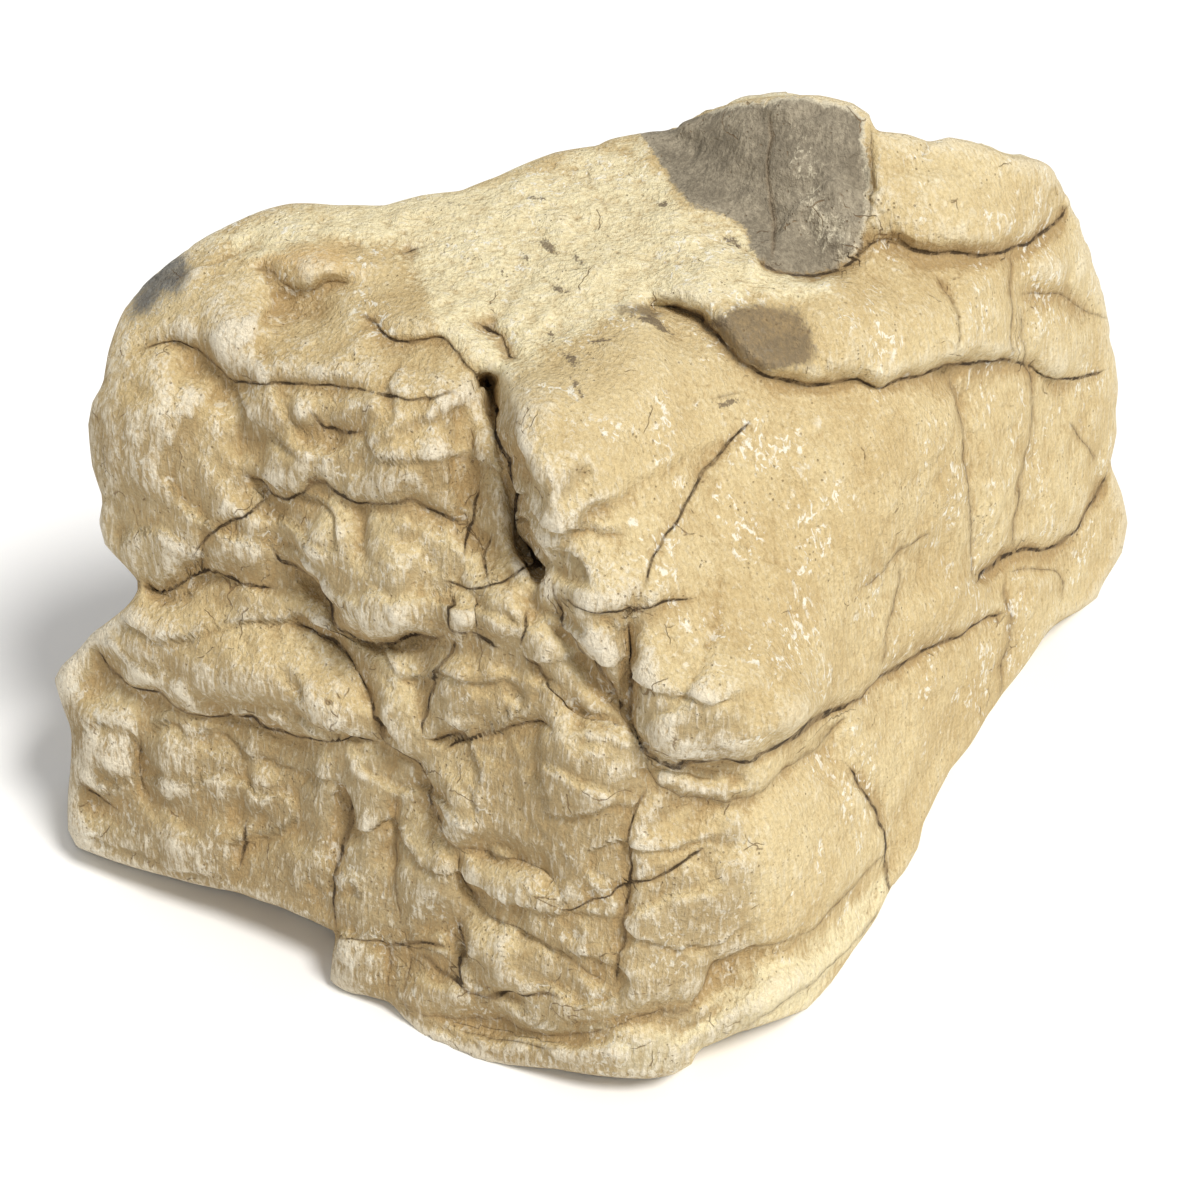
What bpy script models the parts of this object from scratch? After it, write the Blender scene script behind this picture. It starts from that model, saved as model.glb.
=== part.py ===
"""Aquascaping rock: one weathered, jointed stone that stands on a flat bed face.

Metres, +Z up. The origin is the middle of the bounding box's bottom face, and -Y is the front.
The stone starts as a block bounded by worn planes. It is trimmed to the outline that it shows to
someone who looks down at its front corner, and then parted into slabs and lumps by cracks.
The outline, the cracks and the larger lumps are laid out on a square drawing of that sight,
1200 units a side, with u to the right and v down.
"""

import math

import bmesh
import bpy
import numpy as np
from mathutils import Vector, noise

MM = 0.001

# The sight: where the stone is looked at from, and how large it then appears on the drawing.
SIGHT_ELEVATION = 38.0
SIGHT_DISTANCE = 0.66
DRAWING_MIDDLE = 600.0
UNITS_PER_SLOPE = 2833.0
HEART_HEIGHT = 0.075
UNITS_PER_MM = UNITS_PER_SLOPE * MM / SIGHT_DISTANCE

# How finely the block is laid out, and how many facets are left when it has been thinned.
CUBE_CUTS = 100
FACETS = 9400
CURVE_STEP = 9.0

# The surface is found by going out from the core, along ways that crowd towards the sight.
CORE = np.array([0.034, 0.034, 0.068])
CROWDING = np.array([-0.22, -0.36, 0.20])
FURTHEST = 0.30
SEARCH_STEPS = 30
SEARCH_HALVINGS = 12
EDGE_ROUNDING = 0.0035
NOTCH_ROUNDING = 0.0012
RIM_ROUNDING = 0.0008
BED_SNAP = 0.0006

STONE_COLOUR = (0.63, 0.50, 0.31)
STONE_ROUGHNESS = 0.88

# The planes that bound the block: azimuth of the outward normal (0 is the front, 90 the right),
# its elevation, and the plane's distance from the stone's heart.
PLANES = {
    "left_face": (-31, 8, 0.0675),
    "front_nose": (12, 7, 0.082),
    "right_face": (57, 6, 0.072),
    "leaning_slab": (38, 34, 0.083),
    "right_end": (94, 4, 0.150),
    "right_shoulder": (68, 46, 0.136),
    "left_end": (-104, 6, 0.131),
    "left_brow": (-48, 50, 0.104),
    "top": (20, 84, 0.124),
    "back_slope": (180, 32, 0.089),
    "back_left_slope": (-155, 32, 0.096),
    "back": (178, 12, 0.097),
    "back_left": (-138, 12, 0.095),
    "back_right": (128, 20, 0.147),
    "below": (0, -90, 0.095),
}

# The stone's outline on the drawing, clockwise from the notch at the left.
OUTLINE = [
    (141, 584), (127, 568), (105, 545), (99, 522), (103, 499), (92, 466), (88, 425), (92, 402),
    (103, 384), (108, 352), (122, 308), (140, 279), (160, 253), (179, 236), (217, 220), (249, 208),
    (287, 202), (335, 205), (383, 206), (422, 195), (460, 191), (498, 176), (555, 152), (597, 145),
    (625, 128), (651, 116), (702, 107), (746, 98), (800, 95), (820, 95), (853, 103), (869, 114),
    (876, 131), (907, 134), (930, 142), (949, 137), (971, 141), (1009, 155), (1054, 162), (1076, 173),
    (1082, 186), (1102, 205), (1116, 227), (1120, 260), (1116, 289), (1118, 312), (1111, 337),
    (1118, 356), (1120, 385), (1116, 410), (1117, 433), (1110, 464), (1122, 493), (1128, 522),
    (1122, 553), (1103, 583), (1097, 598), (1079, 611), (1060, 620), (1046, 633), (1028, 661),
    (1003, 693), (987, 716), (971, 744), (950, 770), (937, 795), (923, 824), (918, 848), (904, 872),
    (890, 888), (877, 917), (852, 952), (830, 984), (807, 1009), (772, 1022), (737, 1033), (699, 1049),
    (692, 1064), (673, 1075), (648, 1079), (600, 1076), (556, 1069), (505, 1064), (467, 1059),
    (435, 1048), (409, 1023), (390, 1002), (368, 996), (342, 990), (330, 981), (333, 950), (338, 933),
    (313, 921), (281, 907), (237, 892), (166, 876), (105, 858), (77, 847), (68, 830), (68, 794),
    (71, 762), (72, 731), (62, 705), (54, 680), (61, 666), (75, 654), (92, 633), (112, 619), (131, 603),
]

# How the stone gives way at a crack: the depth and half-width of the slit itself, the depth and width
# of the worn shoulders beside it, and how far the step across it is rounded and felt, in millimetres.
OPENINGS = {
    "chasm": (12.0, 2.4, 4.0, 8.0, 2.4, 24.0),
    "deep": (3.6, 1.5, 2.2, 5.5, 1.8, 18.0),
    "open": (1.7, 1.25, 1.5, 4.5, 1.5, 13.0),
    "fine": (0.6, 1.0, 0.6, 3.0, 0.9, 8.0),
    "soft": (0.2, 1.0, 0.9, 3.2, 1.3, 8.0),
    "seam": (0.2, 0.9, 0.3, 2.0, 0.8, 5.0),
}
STEP_PROUD, STEP_LOW = 1.0, 0.75
SHARP_SIDE, WORN_SIDE = 1.7, 0.8
END_TAPER = 14.0
STEP_TAPER = 55.0
END_SHARE = 0.25
CRACK_REACH = 50.0
# The cracks wander by noise of these sizes in millimetres, by so many units on the drawing, and
# their depth comes and goes along them.
CRACK_WANDER = [(11.0, 5.0), (3.6, 2.4)]
UNEVEN_SIZE = 24.0
UNEVEN_MEAN, UNEVEN_SPREAD = 0.8, 0.7
UNEVEN_LIMITS = (0.35, 1.25)

# Lumps and recesses of the worn faces, by hand: middle on the drawing, half-length and half-width,
# tilt of the long side in degrees, clockwise, and height in millimetres. Their sides fall away more
# steeply than a bell's.
SWELL_POWER = 1.5
SWELLS = [
    # The left face under its brow.
    (216, 380, 42, 30, 40, -3.5), (246, 445, 20, 45, 0, -2.5), (146, 445, 42, 70, 0, 2.5),
    (275, 409, 38, 27, 0, 3.2), (360, 412, 50, 22, 0, 2.0), (301, 462, 45, 23, 5, 2.6),
    (401, 462, 55, 30, 0, 3.2), (323, 522, 42, 42, 0, 3.2), (410, 545, 50, 45, 0, 3.2),
    (326, 262, 48, 15, 5, 2.6), (244, 322, 30, 20, 0, 2.2), (296, 306, 38, 13, 5, -2.4),
    (420, 310, 40, 20, 10, 2.0), (468, 450, 20, 75, -5, -3.5), (362, 528, 9, 36, 0, -1.2),
    (160, 545, 30, 26, -35, 1.8), (225, 540, 38, 26, -35, 1.6),
    # The long slab and the blocks at the lower left.
    (215, 655, 105, 34, 20, 3.6), (336, 706, 45, 24, 20, 2.2), (62, 680, 14, 22, 0, 1.4),
    (100, 690, 14, 22, 0, -1.8), (102, 742, 36, 42, 0, 2.6), (145, 760, 8, 36, 0, -1.8),
    (175, 756, 30, 30, 0, 2.6), (221, 786, 18, 22, 0, 1.5), (261, 796, 16, 30, 0, 1.4),
    (322, 812, 17, 85, 0, 1.8), (364, 800, 16, 75, 0, 1.6), (180, 838, 60, 26, 12, 1.8),
    (290, 868, 30, 30, 0, 1.2),
    # Round the meeting of the faces.
    (392, 598, 58, 42, 10, 3.6), (460, 617, 13, 22, 0, 4.2), (501, 617, 26, 30, 0, 4.6),
    (560, 672, 68, 17, 52, 3.4), (604, 652, 42, 14, 65, 2.6), (474, 688, 44, 38, 0, 3.2),
    (397, 697, 26, 44, 0, 2.0), (573, 789, 76, 52, 10, 3.2), (461, 806, 20, 32, 20, 2.0),
    (501, 877, 50, 20, 25, 3.0), (438, 878, 22, 38, 0, 2.6), (524, 853, 55, 8, 25, -2.0),
    # The foot.
    (510, 955, 66, 27, 8, 3.0), (429, 957, 14, 12, 0, 2.0), (440, 995, 26, 15, 10, 2.6),
    (520, 1052, 110, 11, 5, 2.4), (626, 1046, 46, 18, -5, 2.4), (514, 1030, 90, 9, 6, -2.0),
    (360, 968, 24, 26, 0, 2.0),
    # The leaning slab, the ledge under it and the block below.
    (535, 450, 28, 80, -5, 2.6), (610, 520, 90, 130, 0, 2.6), (705, 700, 62, 42, -20, 4.6),
    (860, 470, 90, 90, 0, 1.6), (690, 773, 45, 9, 10, -2.4), (745, 852, 110, 52, -38, 3.2),
    (930, 610, 60, 22, -35, 1.4), (955, 690, 60, 40, -50, 1.8), (760, 1000, 110, 14, -32, 2.2),
    # The columns and courses at the upper right.
    (990, 460, 24, 90, 0, 1.6), (1060, 420, 30, 60, 0, 1.8), (905, 310, 28, 42, 0, 2.2),
    (978, 310, 30, 46, 0, 2.2), (1060, 260, 40, 26, 0, 2.2), (1066, 330, 38, 20, 0, 1.8),
    (950, 205, 62, 34, 10, 2.6), (840, 330, 40, 36, 0, 2.6), (1095, 520, 24, 40, 0, 1.8),
    (1032, 600, 20, 30, 0, 1.2),
]

# Relief is cut along the lines of sight where a face looks towards the eye, from a little to fully,
# and it is calmed towards the rim of the outline in units, and above the bed in millimetres.
SHOWN = (0.08, 0.38)
HIDDEN = (0.03, -0.22)
LEAST_FACING = 0.5
RIM_FADE = 16.0
RIM_SHARE = 0.20
RIM_CALM = 24.0
BED_CALM = 14.0
EVENING_ROUNDS = 2

# The far sides are parted by three sets of joints: the azimuth and elevation that the joints face,
# how far apart they run, and how much they wander, the last two in millimetres.
JOINT_SETS = [(150, 8, 78.0, 30.0), (70, 12, 84.0, 34.0), (30, 70, 52.0, 26.0)]
JOINT_DEPTH = 5.0
JOINT_WIDTH = 1.8
JOINT_SHOULDER = 7.0
JOINT_DRIFT_SIZES = (90.0, 24.0)
JOINT_FINE_SHARE = 0.2
JOINT_SHOULDER_SHARE = 0.5
JOINT_OPEN_SIZE = 38.0
JOINT_OPEN_LEVELS = (-0.55, 0.45)
BLOCK_OFFSET = 3.0
BLOCK_HASH = np.array([12.9, 78.2, 37.7])
BLOCK_HASH_SCALE = 43.7

# Lumps of the worn surface: their size and height in millimetres.
LUMPS = [(46.0, 2.2), (17.0, 0.9), (7.0, 0.4)]
# Lumps with creases between them, which the left face has most of.
CREASED_LUMPS = [(24.0, 1.5), (8.0, 0.8)]
CREASE_LEVEL = 0.2
# Flat chips that the stone has lost: their size and height in millimetres. They are longer upright.
CHIPS = [(17.0, 2.6)]
CHIP_STRETCH = (1.0, 1.0, 1.7)
CHIP_WEAR = 0.35
CHIP_SCALE = 2.0
CHIP_HASH = 97.0
CHIP_LEVEL = Vector((0.5, 0.5, 0.5))
# Worn bedding: its size, how many ledges it makes, and their height, in millimetres.
BEDDING_SIZE = 36.0
BEDDING_STRETCH = (1.3, 1.3, 0.6)
BEDDING_COUNT = 1.9
BEDDING_FINE_SIZE = 9.0
BEDDING_RAGGED = 0.35
BEDDING_HEIGHT = 1.7
BEDDING_LEVEL = 0.4
BEDDING_DROP = 0.10
# The left face looks this way, and the other faces have this share of its roughness.
ROUGH_AZIMUTH = -45
ROUGH_FACING = (0.15, 0.50)
SMOOTH_FACE_SHARE = 0.25

# Each kind of noise starts from its own place.
SEED_STEP = 7.31
JOINT_SEED, LUMP_SEED, WANDER_SEED, UNEVEN_SEED = 1, 11, 20, 27
BEDDING_SEED, CREASE_SEED, CHIP_SEED = 41, 45, 51

# Cracks: opening, the side that stands proud and by how many millimetres, and the line on the drawing.
CRACKS = [
    # The left face, from its brow down.
    ("open", "upper", 2.6, [(140, 353), (190, 341), (236, 376), (300, 384), (351, 388), (376, 393)]),
    ("fine", "upper", 1.0, [(351, 388), (385, 394), (421, 397), (462, 390)]),
    ("open", "upper", 4.0, [(249, 272), (271, 274), (293, 290), (319, 291), (328, 283), (360, 282)]),
    ("seam", "upper", 1.0, [(239, 440), (261, 442)]),
    ("open", "upper", 1.5, [(309, 406), (322, 428), (335, 435), (360, 436)]),
    ("open", "upper", 3.0, [(245, 473), (284, 498), (322, 484), (360, 502), (408, 497), (446, 516), (469, 524)]),
    ("fine", "upper", 1.5, [(190, 560), (210, 537), (252, 510), (271, 494)]),
    ("fine", "left", 1.0, [(478, 486), (472, 524), (462, 559)]),
    ("deep", "upper", 3.0, [(138, 586), (169, 585), (204, 571), (249, 581), (281, 586)]),
    ("deep", "upper", 5.0, [(271, 542), (281, 555), (303, 571), (332, 609), (336, 625), (373, 644), (414, 641),
                            (450, 632)]),
    ("deep", "right", 2.5, [(287, 622), (325, 633), (354, 660), (371, 695), (386, 737), (418, 764), (437, 810),
                            (462, 846)]),
    ("open", "upper", 3.0, [(92, 651), (121, 678), (163, 694), (223, 715), (242, 711), (284, 731), (354, 737),
                            (383, 739)]),
    ("fine", "upper", 1.0, [(62, 705), (77, 703)]),
    ("fine", "right", 2.0, [(459, 633), (437, 673), (427, 705), (422, 737)]),
    ("fine", "upper", 0.5, [(469, 633), (485, 641), (503, 651)]),
    ("fine", "lower", 1.0, [(437, 753), (462, 740), (500, 732)]),
    ("soft", "left", 0.8, [(147, 731), (140, 769), (150, 801)]),
    ("fine", "left", 0.5, [(245, 817), (237, 874)]),
    ("fine", "upper", 0.5, [(76, 778), (99, 798), (121, 813)]),
    ("fine", "right", 2.0, [(344, 790), (338, 850), (338, 905), (335, 935)]),
    ("soft", "right", 1.0, [(395, 790), (395, 861), (402, 928)]),
    ("open", "right", 1.5, [(462, 848), (462, 871), (472, 890), (485, 903)]),
    # The corner between the faces, where the leaning slab stands proud.
    ("chasm", "right", 7.0, [(478, 372), (490, 388), (503, 442), (513, 487), (527, 541), (541, 570), (554, 573)]),
    ("open", "right", 3.0, [(554, 573), (567, 615), (592, 656), (615, 696), (631, 723)]),
    ("fine", "upper", 2.0, [(560, 592), (580, 602), (627, 608), (669, 600), (698, 597)]),
    ("deep", "right", 3.0, [(631, 615), (632, 685), (632, 717), (643, 739)]),
    ("deep", "upper", 7.0, [(632, 717), (643, 739), (678, 761), (721, 755), (745, 758), (796, 728), (850, 704)]),
    ("open", "upper", 3.5, [(643, 745), (648, 768), (669, 790), (710, 795), (749, 795), (812, 745), (850, 717)]),
    ("fine", "left", 0.8, [(497, 528), (487, 554), (492, 580)]),
    ("fine", "upper", 1.0, [(439, 576), (490, 586), (522, 570), (544, 571)]),
    ("fine", "lower", 0.5, [(455, 586), (452, 627), (471, 632), (503, 651)]),
    ("fine", "right", 0.3, [(474, 592), (477, 611), (473, 631)]),
    ("fine", "right", 1.0, [(530, 605), (524, 631), (522, 646)]),
    ("open", "left", 1.5, [(522, 648), (557, 685), (580, 717), (627, 726)]),
    ("open", "upper", 2.0, [(423, 739), (487, 733), (541, 720), (554, 729)]),
    ("fine", "left", 0.5, [(615, 697), (624, 704), (627, 717)]),
    ("open", "right", 1.5, [(643, 787), (630, 828), (634, 873), (626, 921), (613, 988)]),
    ("fine", "right", 0.5, [(755, 414), (717, 458), (688, 503), (653, 564), (645, 592)]),
    ("seam", "left", 0.0, [(745, 388), (726, 395), (710, 401)]),
    # The right face.
    ("soft", "left", 2.5, [(955, 372), (957, 400), (965, 496), (971, 559), (970, 583)]),
    ("soft", "left", 1.8, [(1025, 305), (1025, 400), (1022, 496), (1016, 556)]),
    ("deep", "upper", 3.0, [(970, 583), (1014, 556), (1060, 540), (1095, 502), (1108, 470)]),
    ("open", "lower", 2.0, [(1006, 572), (1032, 570), (1054, 572), (1060, 585), (1059, 607)]),
    ("deep", "upper", 3.0, [(745, 757), (796, 732), (859, 700), (923, 655), (974, 623), (1008, 612)]),
    ("soft", "left", 1.5, [(1006, 578), (1008, 636), (1003, 671), (995, 703)]),
    ("seam", "left", 0.4, [(933, 527), (904, 550), (878, 572), (859, 591)]),
    ("seam", "left", 0.6, [(901, 559), (898, 598), (891, 642), (882, 674)]),
    ("fine", "left", 2.2, [(840, 760), (872, 805), (885, 846), (888, 900)]),
    ("open", "upper", 3.0, [(600, 1030), (676, 1006), (737, 955), (798, 933), (855, 879), (890, 850)]),
    ("seam", "upper", 1.0, [(740, 1030), (772, 1006), (829, 961), (852, 942), (880, 904)]),
    # The upper right courses.
    ("deep", "upper", 4.5, [(640, 306), (690, 312), (725, 343), (764, 375), (808, 386), (856, 375), (878, 385),
                            (945, 369), (1022, 364), (1060, 377), (1108, 367)]),
    ("open", "upper", 2.0, [(840, 270), (878, 241), (923, 252), (987, 256), (1041, 235), (1073, 203)]),
    ("open", "upper", 2.5, [(1022, 295), (1060, 294), (1092, 315), (1113, 321)]),
    ("soft", "left", 0.8, [(936, 273), (952, 305), (958, 337), (957, 356)]),
    ("soft", "left", 0.8, [(1009, 254), (1011, 289), (1014, 321), (1012, 362)]),
    ("soft", "left", 0.5, [(891, 222), (898, 251)]),
    ("soft", "left", 0.5, [(929, 142), (921, 163)]),
    ("soft", "left", 0.5, [(1067, 420), (1095, 468)]),
    # The cliff: a crease down its middle, and the pale edge where it meets the smooth block.
    ("soft", "right", 0.3, [(766, 110), (768, 180), (775, 262)]),
    ("seam", "right", 3.0, [(872, 122), (870, 180), (866, 235)]),
    ("open", "lower", 3.0, [(757, 258), (775, 270), (838, 271), (866, 237)]),
    # The broken edge of the crust above the main crack.
    ("fine", "upper", 1.6, [(360, 311), (399, 340), (443, 339), (466, 366), (488, 388)]),
    ("fine", "upper", 1.0, [(396, 254), (424, 248)]),
    ("open", "upper", 1.5, [(475, 321), (504, 337), (510, 356), (523, 362)]),
    # The lower middle block.
    ("open", "upper", 2.5, [(419, 762), (438, 816), (454, 841), (492, 851), (546, 870), (562, 886)]),
    ("open", "upper", 2.0, [(460, 867), (483, 905), (543, 938), (581, 966), (604, 985)]),
    ("fine", "right", 1.0, [(454, 918), (457, 978), (473, 994)]),
    ("fine", "upper", 0.5, [(556, 910), (588, 897), (648, 880), (709, 849)]),
    ("fine", "upper", 1.0, [(339, 937), (387, 940), (450, 950)]),
    ("soft", "right", 1.0, [(387, 937), (389, 1001)]),
    ("soft", "right", 1.0, [(409, 930), (411, 1023)]),
    ("fine", "upper", 1.5, [(412, 953), (473, 994), (537, 994), (562, 1002)]),
    ("open", "upper", 2.0, [(412, 997), (441, 1016), (498, 1020), (569, 1037), (632, 1022)]),
    ("soft", "upper", 1.0, [(451, 1029), (492, 1036), (562, 1052)]),
]


def direction(azimuth, elevation):
    a, e = math.radians(azimuth), math.radians(elevation)
    return np.array([math.sin(a) * math.cos(e), -math.cos(a) * math.cos(e), math.sin(e)])


HEART = np.array([0.0, 0.0, HEART_HEIGHT])
TOWARDS_EYE = direction(0, SIGHT_ELEVATION)
SIGHT_RIGHT = np.array([1.0, 0.0, 0.0])
SIGHT_UP = np.cross(TOWARDS_EYE, SIGHT_RIGHT)
EYE = HEART + TOWARDS_EYE * SIGHT_DISTANCE

# The broken top: a crusted floor that ends at a grey cliff. Each plane is a point and a normal.
CRUST_FLOOR = ((-0.010, 0.0, 0.170), direction(-30, 80))
CLIFF = ((0.041, -0.002, 0.172), direction(-54, 24))
# Right of it the break turns to the front and comes down on a floor that falls to the right.
BREAK_FLOOR = ((0.036, -0.006, 0.1715), direction(60, 72))
BREAK_FRONT = ((0.047, 0.0108, 0.1825), direction(-5, 36))


def ramp(value, start, end):
    """Goes smoothly from 0 to 1 as the value goes from start to end."""
    t = np.clip((value - start) / (end - start), 0.0, 1.0)
    return t * t * (3.0 - 2.0 * t)


def noise_at(points, size, seed, stretch=(1.0, 1.0, 1.0)):
    """Smooth noise between -1 and 1 whose lumps are about the given size in millimetres."""
    places = points / (np.array(stretch) * size * MM) + seed * SEED_STEP
    return np.array([noise.noise(Vector(place)) for place in places])


def on_drawing(points):
    """Where points appear on the drawing, as (u, v)."""
    from_eye = points - EYE
    depth = -from_eye @ TOWARDS_EYE
    right = from_eye @ SIGHT_RIGHT / depth
    up = from_eye @ SIGHT_UP / depth
    return DRAWING_MIDDLE + UNITS_PER_SLOPE * np.stack([right, -up], axis=1)


def sight_of(points, normals):
    """The lines of sight to the points, and how squarely the surface faces the eye there."""
    sight = points - EYE
    sight /= np.linalg.norm(sight, axis=1, keepdims=True)
    return sight, -np.sum(sight * normals, axis=1)


def past_outline(points):
    """How far points lie outside the outline on the drawing, in units."""
    corners = np.array(OUTLINE, float) - DRAWING_MIDDLE
    angles = np.arctan2(corners[:, 1], corners[:, 0])
    order = np.argsort(angles)
    reach = np.hypot(corners[:, 0], corners[:, 1])
    seen = on_drawing(points) - DRAWING_MIDDLE
    turn = np.arctan2(seen[:, 1], seen[:, 0])
    edge = np.interp(turn, angles[order], reach[order], period=2 * math.pi)
    return np.hypot(seen[:, 0], seen[:, 1]) - edge


def past_plane(points, plane):
    place, normal = plane
    return (points - np.array(place)) @ normal


def softly_most(values, rounding):
    """The greatest of several values, rounded over where two of them meet."""
    top = np.max(values, axis=0)
    return top + rounding * np.log(sum(np.exp((value - top) / rounding) for value in values))


def outside_stone(points):
    """How far points lie outside the worn block, in metres; negative inside it."""
    walls = []
    for azimuth, elevation, distance in PLANES.values():
        walls.append((points - HEART) @ direction(azimuth, elevation) - distance)
    for floor, wall in ((CRUST_FLOOR, CLIFF), (BREAK_FLOOR, BREAK_FRONT)):
        walls.append(-softly_most([-past_plane(points, floor), -past_plane(points, wall)], NOTCH_ROUNDING))
    block = softly_most(walls, EDGE_ROUNDING)
    return softly_most([block, past_outline(points) / UNITS_PER_MM * MM], RIM_ROUNDING)


def first_surface(ways):
    """Goes out from the core along each way to the place where the stone ends."""
    beyond = np.full(len(ways), FURTHEST)
    for step in range(SEARCH_STEPS, 0, -1):
        reach = FURTHEST * step / SEARCH_STEPS
        out = outside_stone(CORE + ways * reach) > 0
        beyond[out] = reach
    inside = beyond - FURTHEST / SEARCH_STEPS
    for _ in range(SEARCH_HALVINGS):
        middle = (inside + beyond) / 2
        out = outside_stone(CORE + ways * middle[:, None]) > 0
        beyond = np.where(out, middle, beyond)
        inside = np.where(out, inside, middle)
    return CORE + ways * inside[:, None]


def ball_mesh():
    """A cube cut into a fine grid; its corners give the ways out from the core."""
    ball = bmesh.new()
    bmesh.ops.create_cube(ball, size=2.0)
    bmesh.ops.subdivide_edges(ball, edges=ball.edges[:], cuts=CUBE_CUTS - 1, use_grid_fill=True)
    mesh = bpy.data.meshes.new("rock")
    ball.to_mesh(mesh)
    ball.free()
    return mesh


def coordinates(mesh):
    found = np.empty(len(mesh.vertices) * 3, np.float32)
    mesh.vertices.foreach_get("co", found)
    return found.reshape(-1, 3).astype(float)


def normals_of(mesh):
    found = np.empty(len(mesh.vertices) * 3, np.float32)
    mesh.vertices.foreach_get("normal", found)
    return found.reshape(-1, 3).astype(float)


def set_points(mesh, points):
    mesh.vertices.foreach_set("co", points.astype(np.float32).ravel())
    mesh.update()


def averaged(mesh, values, rounds):
    """Values evened out over the mesh: each goes half-way to its neighbours' mean, again and again."""
    edges = np.empty(len(mesh.edges) * 2, np.int32)
    mesh.edges.foreach_get("vertices", edges)
    starts, ends = edges.reshape(-1, 2).T
    count = len(values)
    degree = np.bincount(edges, minlength=count)
    for _ in range(rounds):
        total = np.bincount(starts, values[ends], count) + np.bincount(ends, values[starts], count)
        values = (values + total / degree) / 2
    return values


def ways_out(mesh):
    """Directions from the core, crowded towards the side that the sight shows."""
    ways = np.tan(coordinates(mesh) * math.pi / 4)
    ways /= np.linalg.norm(ways, axis=1, keepdims=True)
    ways += CROWDING
    return ways / np.linalg.norm(ways, axis=1, keepdims=True)


def rest_on_bed(points):
    """Brings what hangs below the bed up to it, towards the core."""
    below = points[:, 2] < 0
    shrink = CORE[2] / (CORE[2] - points[below, 2])
    points[below] = CORE + (points[below] - CORE) * shrink[:, None]
    points[points[:, 2] < BED_SNAP, 2] = 0.0
    return points


def smooth_curve(corners):
    """A line through the corners, bent smoothly and cut into short pieces."""
    corners = np.array(corners, float)
    padded = np.concatenate([corners[:1] * 2 - corners[1:2], corners, corners[-1:] * 2 - corners[-2:-1]])
    found = []
    for before, start, end, after in zip(padded, padded[1:], padded[2:], padded[3:]):
        pieces = max(1, int(np.hypot(*(end - start)) / CURVE_STEP))
        for piece in range(pieces):
            t = piece / pieces
            bend = (2 * before - 5 * start + 4 * end - after) * t * t
            bend += (3 * start - before - 3 * end + after) * t ** 3
            found.append(start + ((end - before) * t + bend) / 2)
    found.append(corners[-1])
    return np.array(found)


def along_curve(seen, curve):
    """Distance of points from a curve, signed by side, and how far the nearest place is from its ends."""
    nearest = np.full(len(seen), np.inf)
    signed = np.zeros(len(seen))
    place = np.zeros(len(seen))
    travelled = 0.0
    for start, end in zip(curve, curve[1:]):
        run = end - start
        length = np.hypot(*run)
        offset = seen - start
        t = np.clip(offset @ run / length ** 2, 0.0, 1.0)
        distance = np.hypot(*(offset - t[:, None] * run).T)
        closer = distance < nearest
        nearest[closer] = distance[closer]
        side = run[0] * offset[:, 1] - run[1] * offset[:, 0]
        signed[closer] = (np.sign(side) * distance)[closer]
        place[closer] = travelled + t[closer] * length
        travelled += length
    return signed, np.minimum(place, travelled - place)


def proud_sign(side, curve):
    """Which sign of the side marks the part that stands proud."""
    across, down = curve[-1] - curve[0]
    return {
        "upper": -1.0 if across > 0 else 1.0,
        "lower": 1.0 if across > 0 else -1.0,
        "left": 1.0 if down > 0 else -1.0,
        "right": -1.0 if down > 0 else 1.0,
    }[side]


def flat_places(seen):
    """Places on the drawing as points of a plane, in metres of the stone's own size."""
    return np.pad(seen, ((0, 0), (0, 1))) / UNITS_PER_MM * MM


def wandering(seen):
    """The places on the drawing, moved about a little so that the cracks wander."""
    moved = seen.copy()
    for index, (size, reach) in enumerate(CRACK_WANDER):
        for axis in range(2):
            moved[:, axis] += reach * noise_at(flat_places(seen), size, WANDER_SEED + 2 * index + axis)
    return moved


def crack_relief(seen, uneven):
    """How deep the cracks cut in and how much their edges are set back, in millimetres."""
    groove = np.zeros(len(seen))
    ledge = np.zeros(len(seen))
    for opening, side, step, corners in CRACKS:
        slit_depth, slit_width, shoulder_depth, shoulder_width, rounding, fade = OPENINGS[opening]
        curve = smooth_curve(corners)
        reach = CRACK_REACH * UNITS_PER_MM
        near = np.all((seen > curve.min(axis=0) - reach) & (seen < curve.max(axis=0) + reach), axis=1)
        signed, from_end = along_curve(seen[near], curve)
        signed = signed / UNITS_PER_MM * proud_sign(side, curve)
        gap = np.abs(signed)
        taper = END_SHARE + (1.0 - END_SHARE) * ramp(from_end, 0.0, END_TAPER)
        wear = np.where(signed > 0, SHARP_SIDE, WORN_SIDE)
        slit = slit_depth * np.exp(-(gap / slit_width) ** 2)
        shoulder = shoulder_depth * np.exp(-gap / shoulder_width * wear)
        groove[near] = np.maximum(groove[near], (slit + shoulder) * taper * uneven[near])
        felt = np.exp(-gap / fade) * (1.0 - np.exp(-gap / rounding))
        set_back = np.where(signed > 0, -STEP_PROUD, STEP_LOW) * step * felt
        ledge[near] += set_back * ramp(from_end, 0.0, STEP_TAPER)
    return groove + ledge


def swelling(seen):
    """How far the lumps laid out by hand stand out, in millimetres; recesses are negative."""
    total = np.zeros(len(seen))
    for u, v, length, width, tilt, height in SWELLS:
        turn = math.radians(tilt)
        offset = seen - (u, v)
        along = (offset[:, 0] * math.cos(turn) + offset[:, 1] * math.sin(turn)) / length
        across = (offset[:, 1] * math.cos(turn) - offset[:, 0] * math.sin(turn)) / width
        total += height * np.exp(-(along ** 2 + across ** 2) ** SWELL_POWER)
    return total


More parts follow.
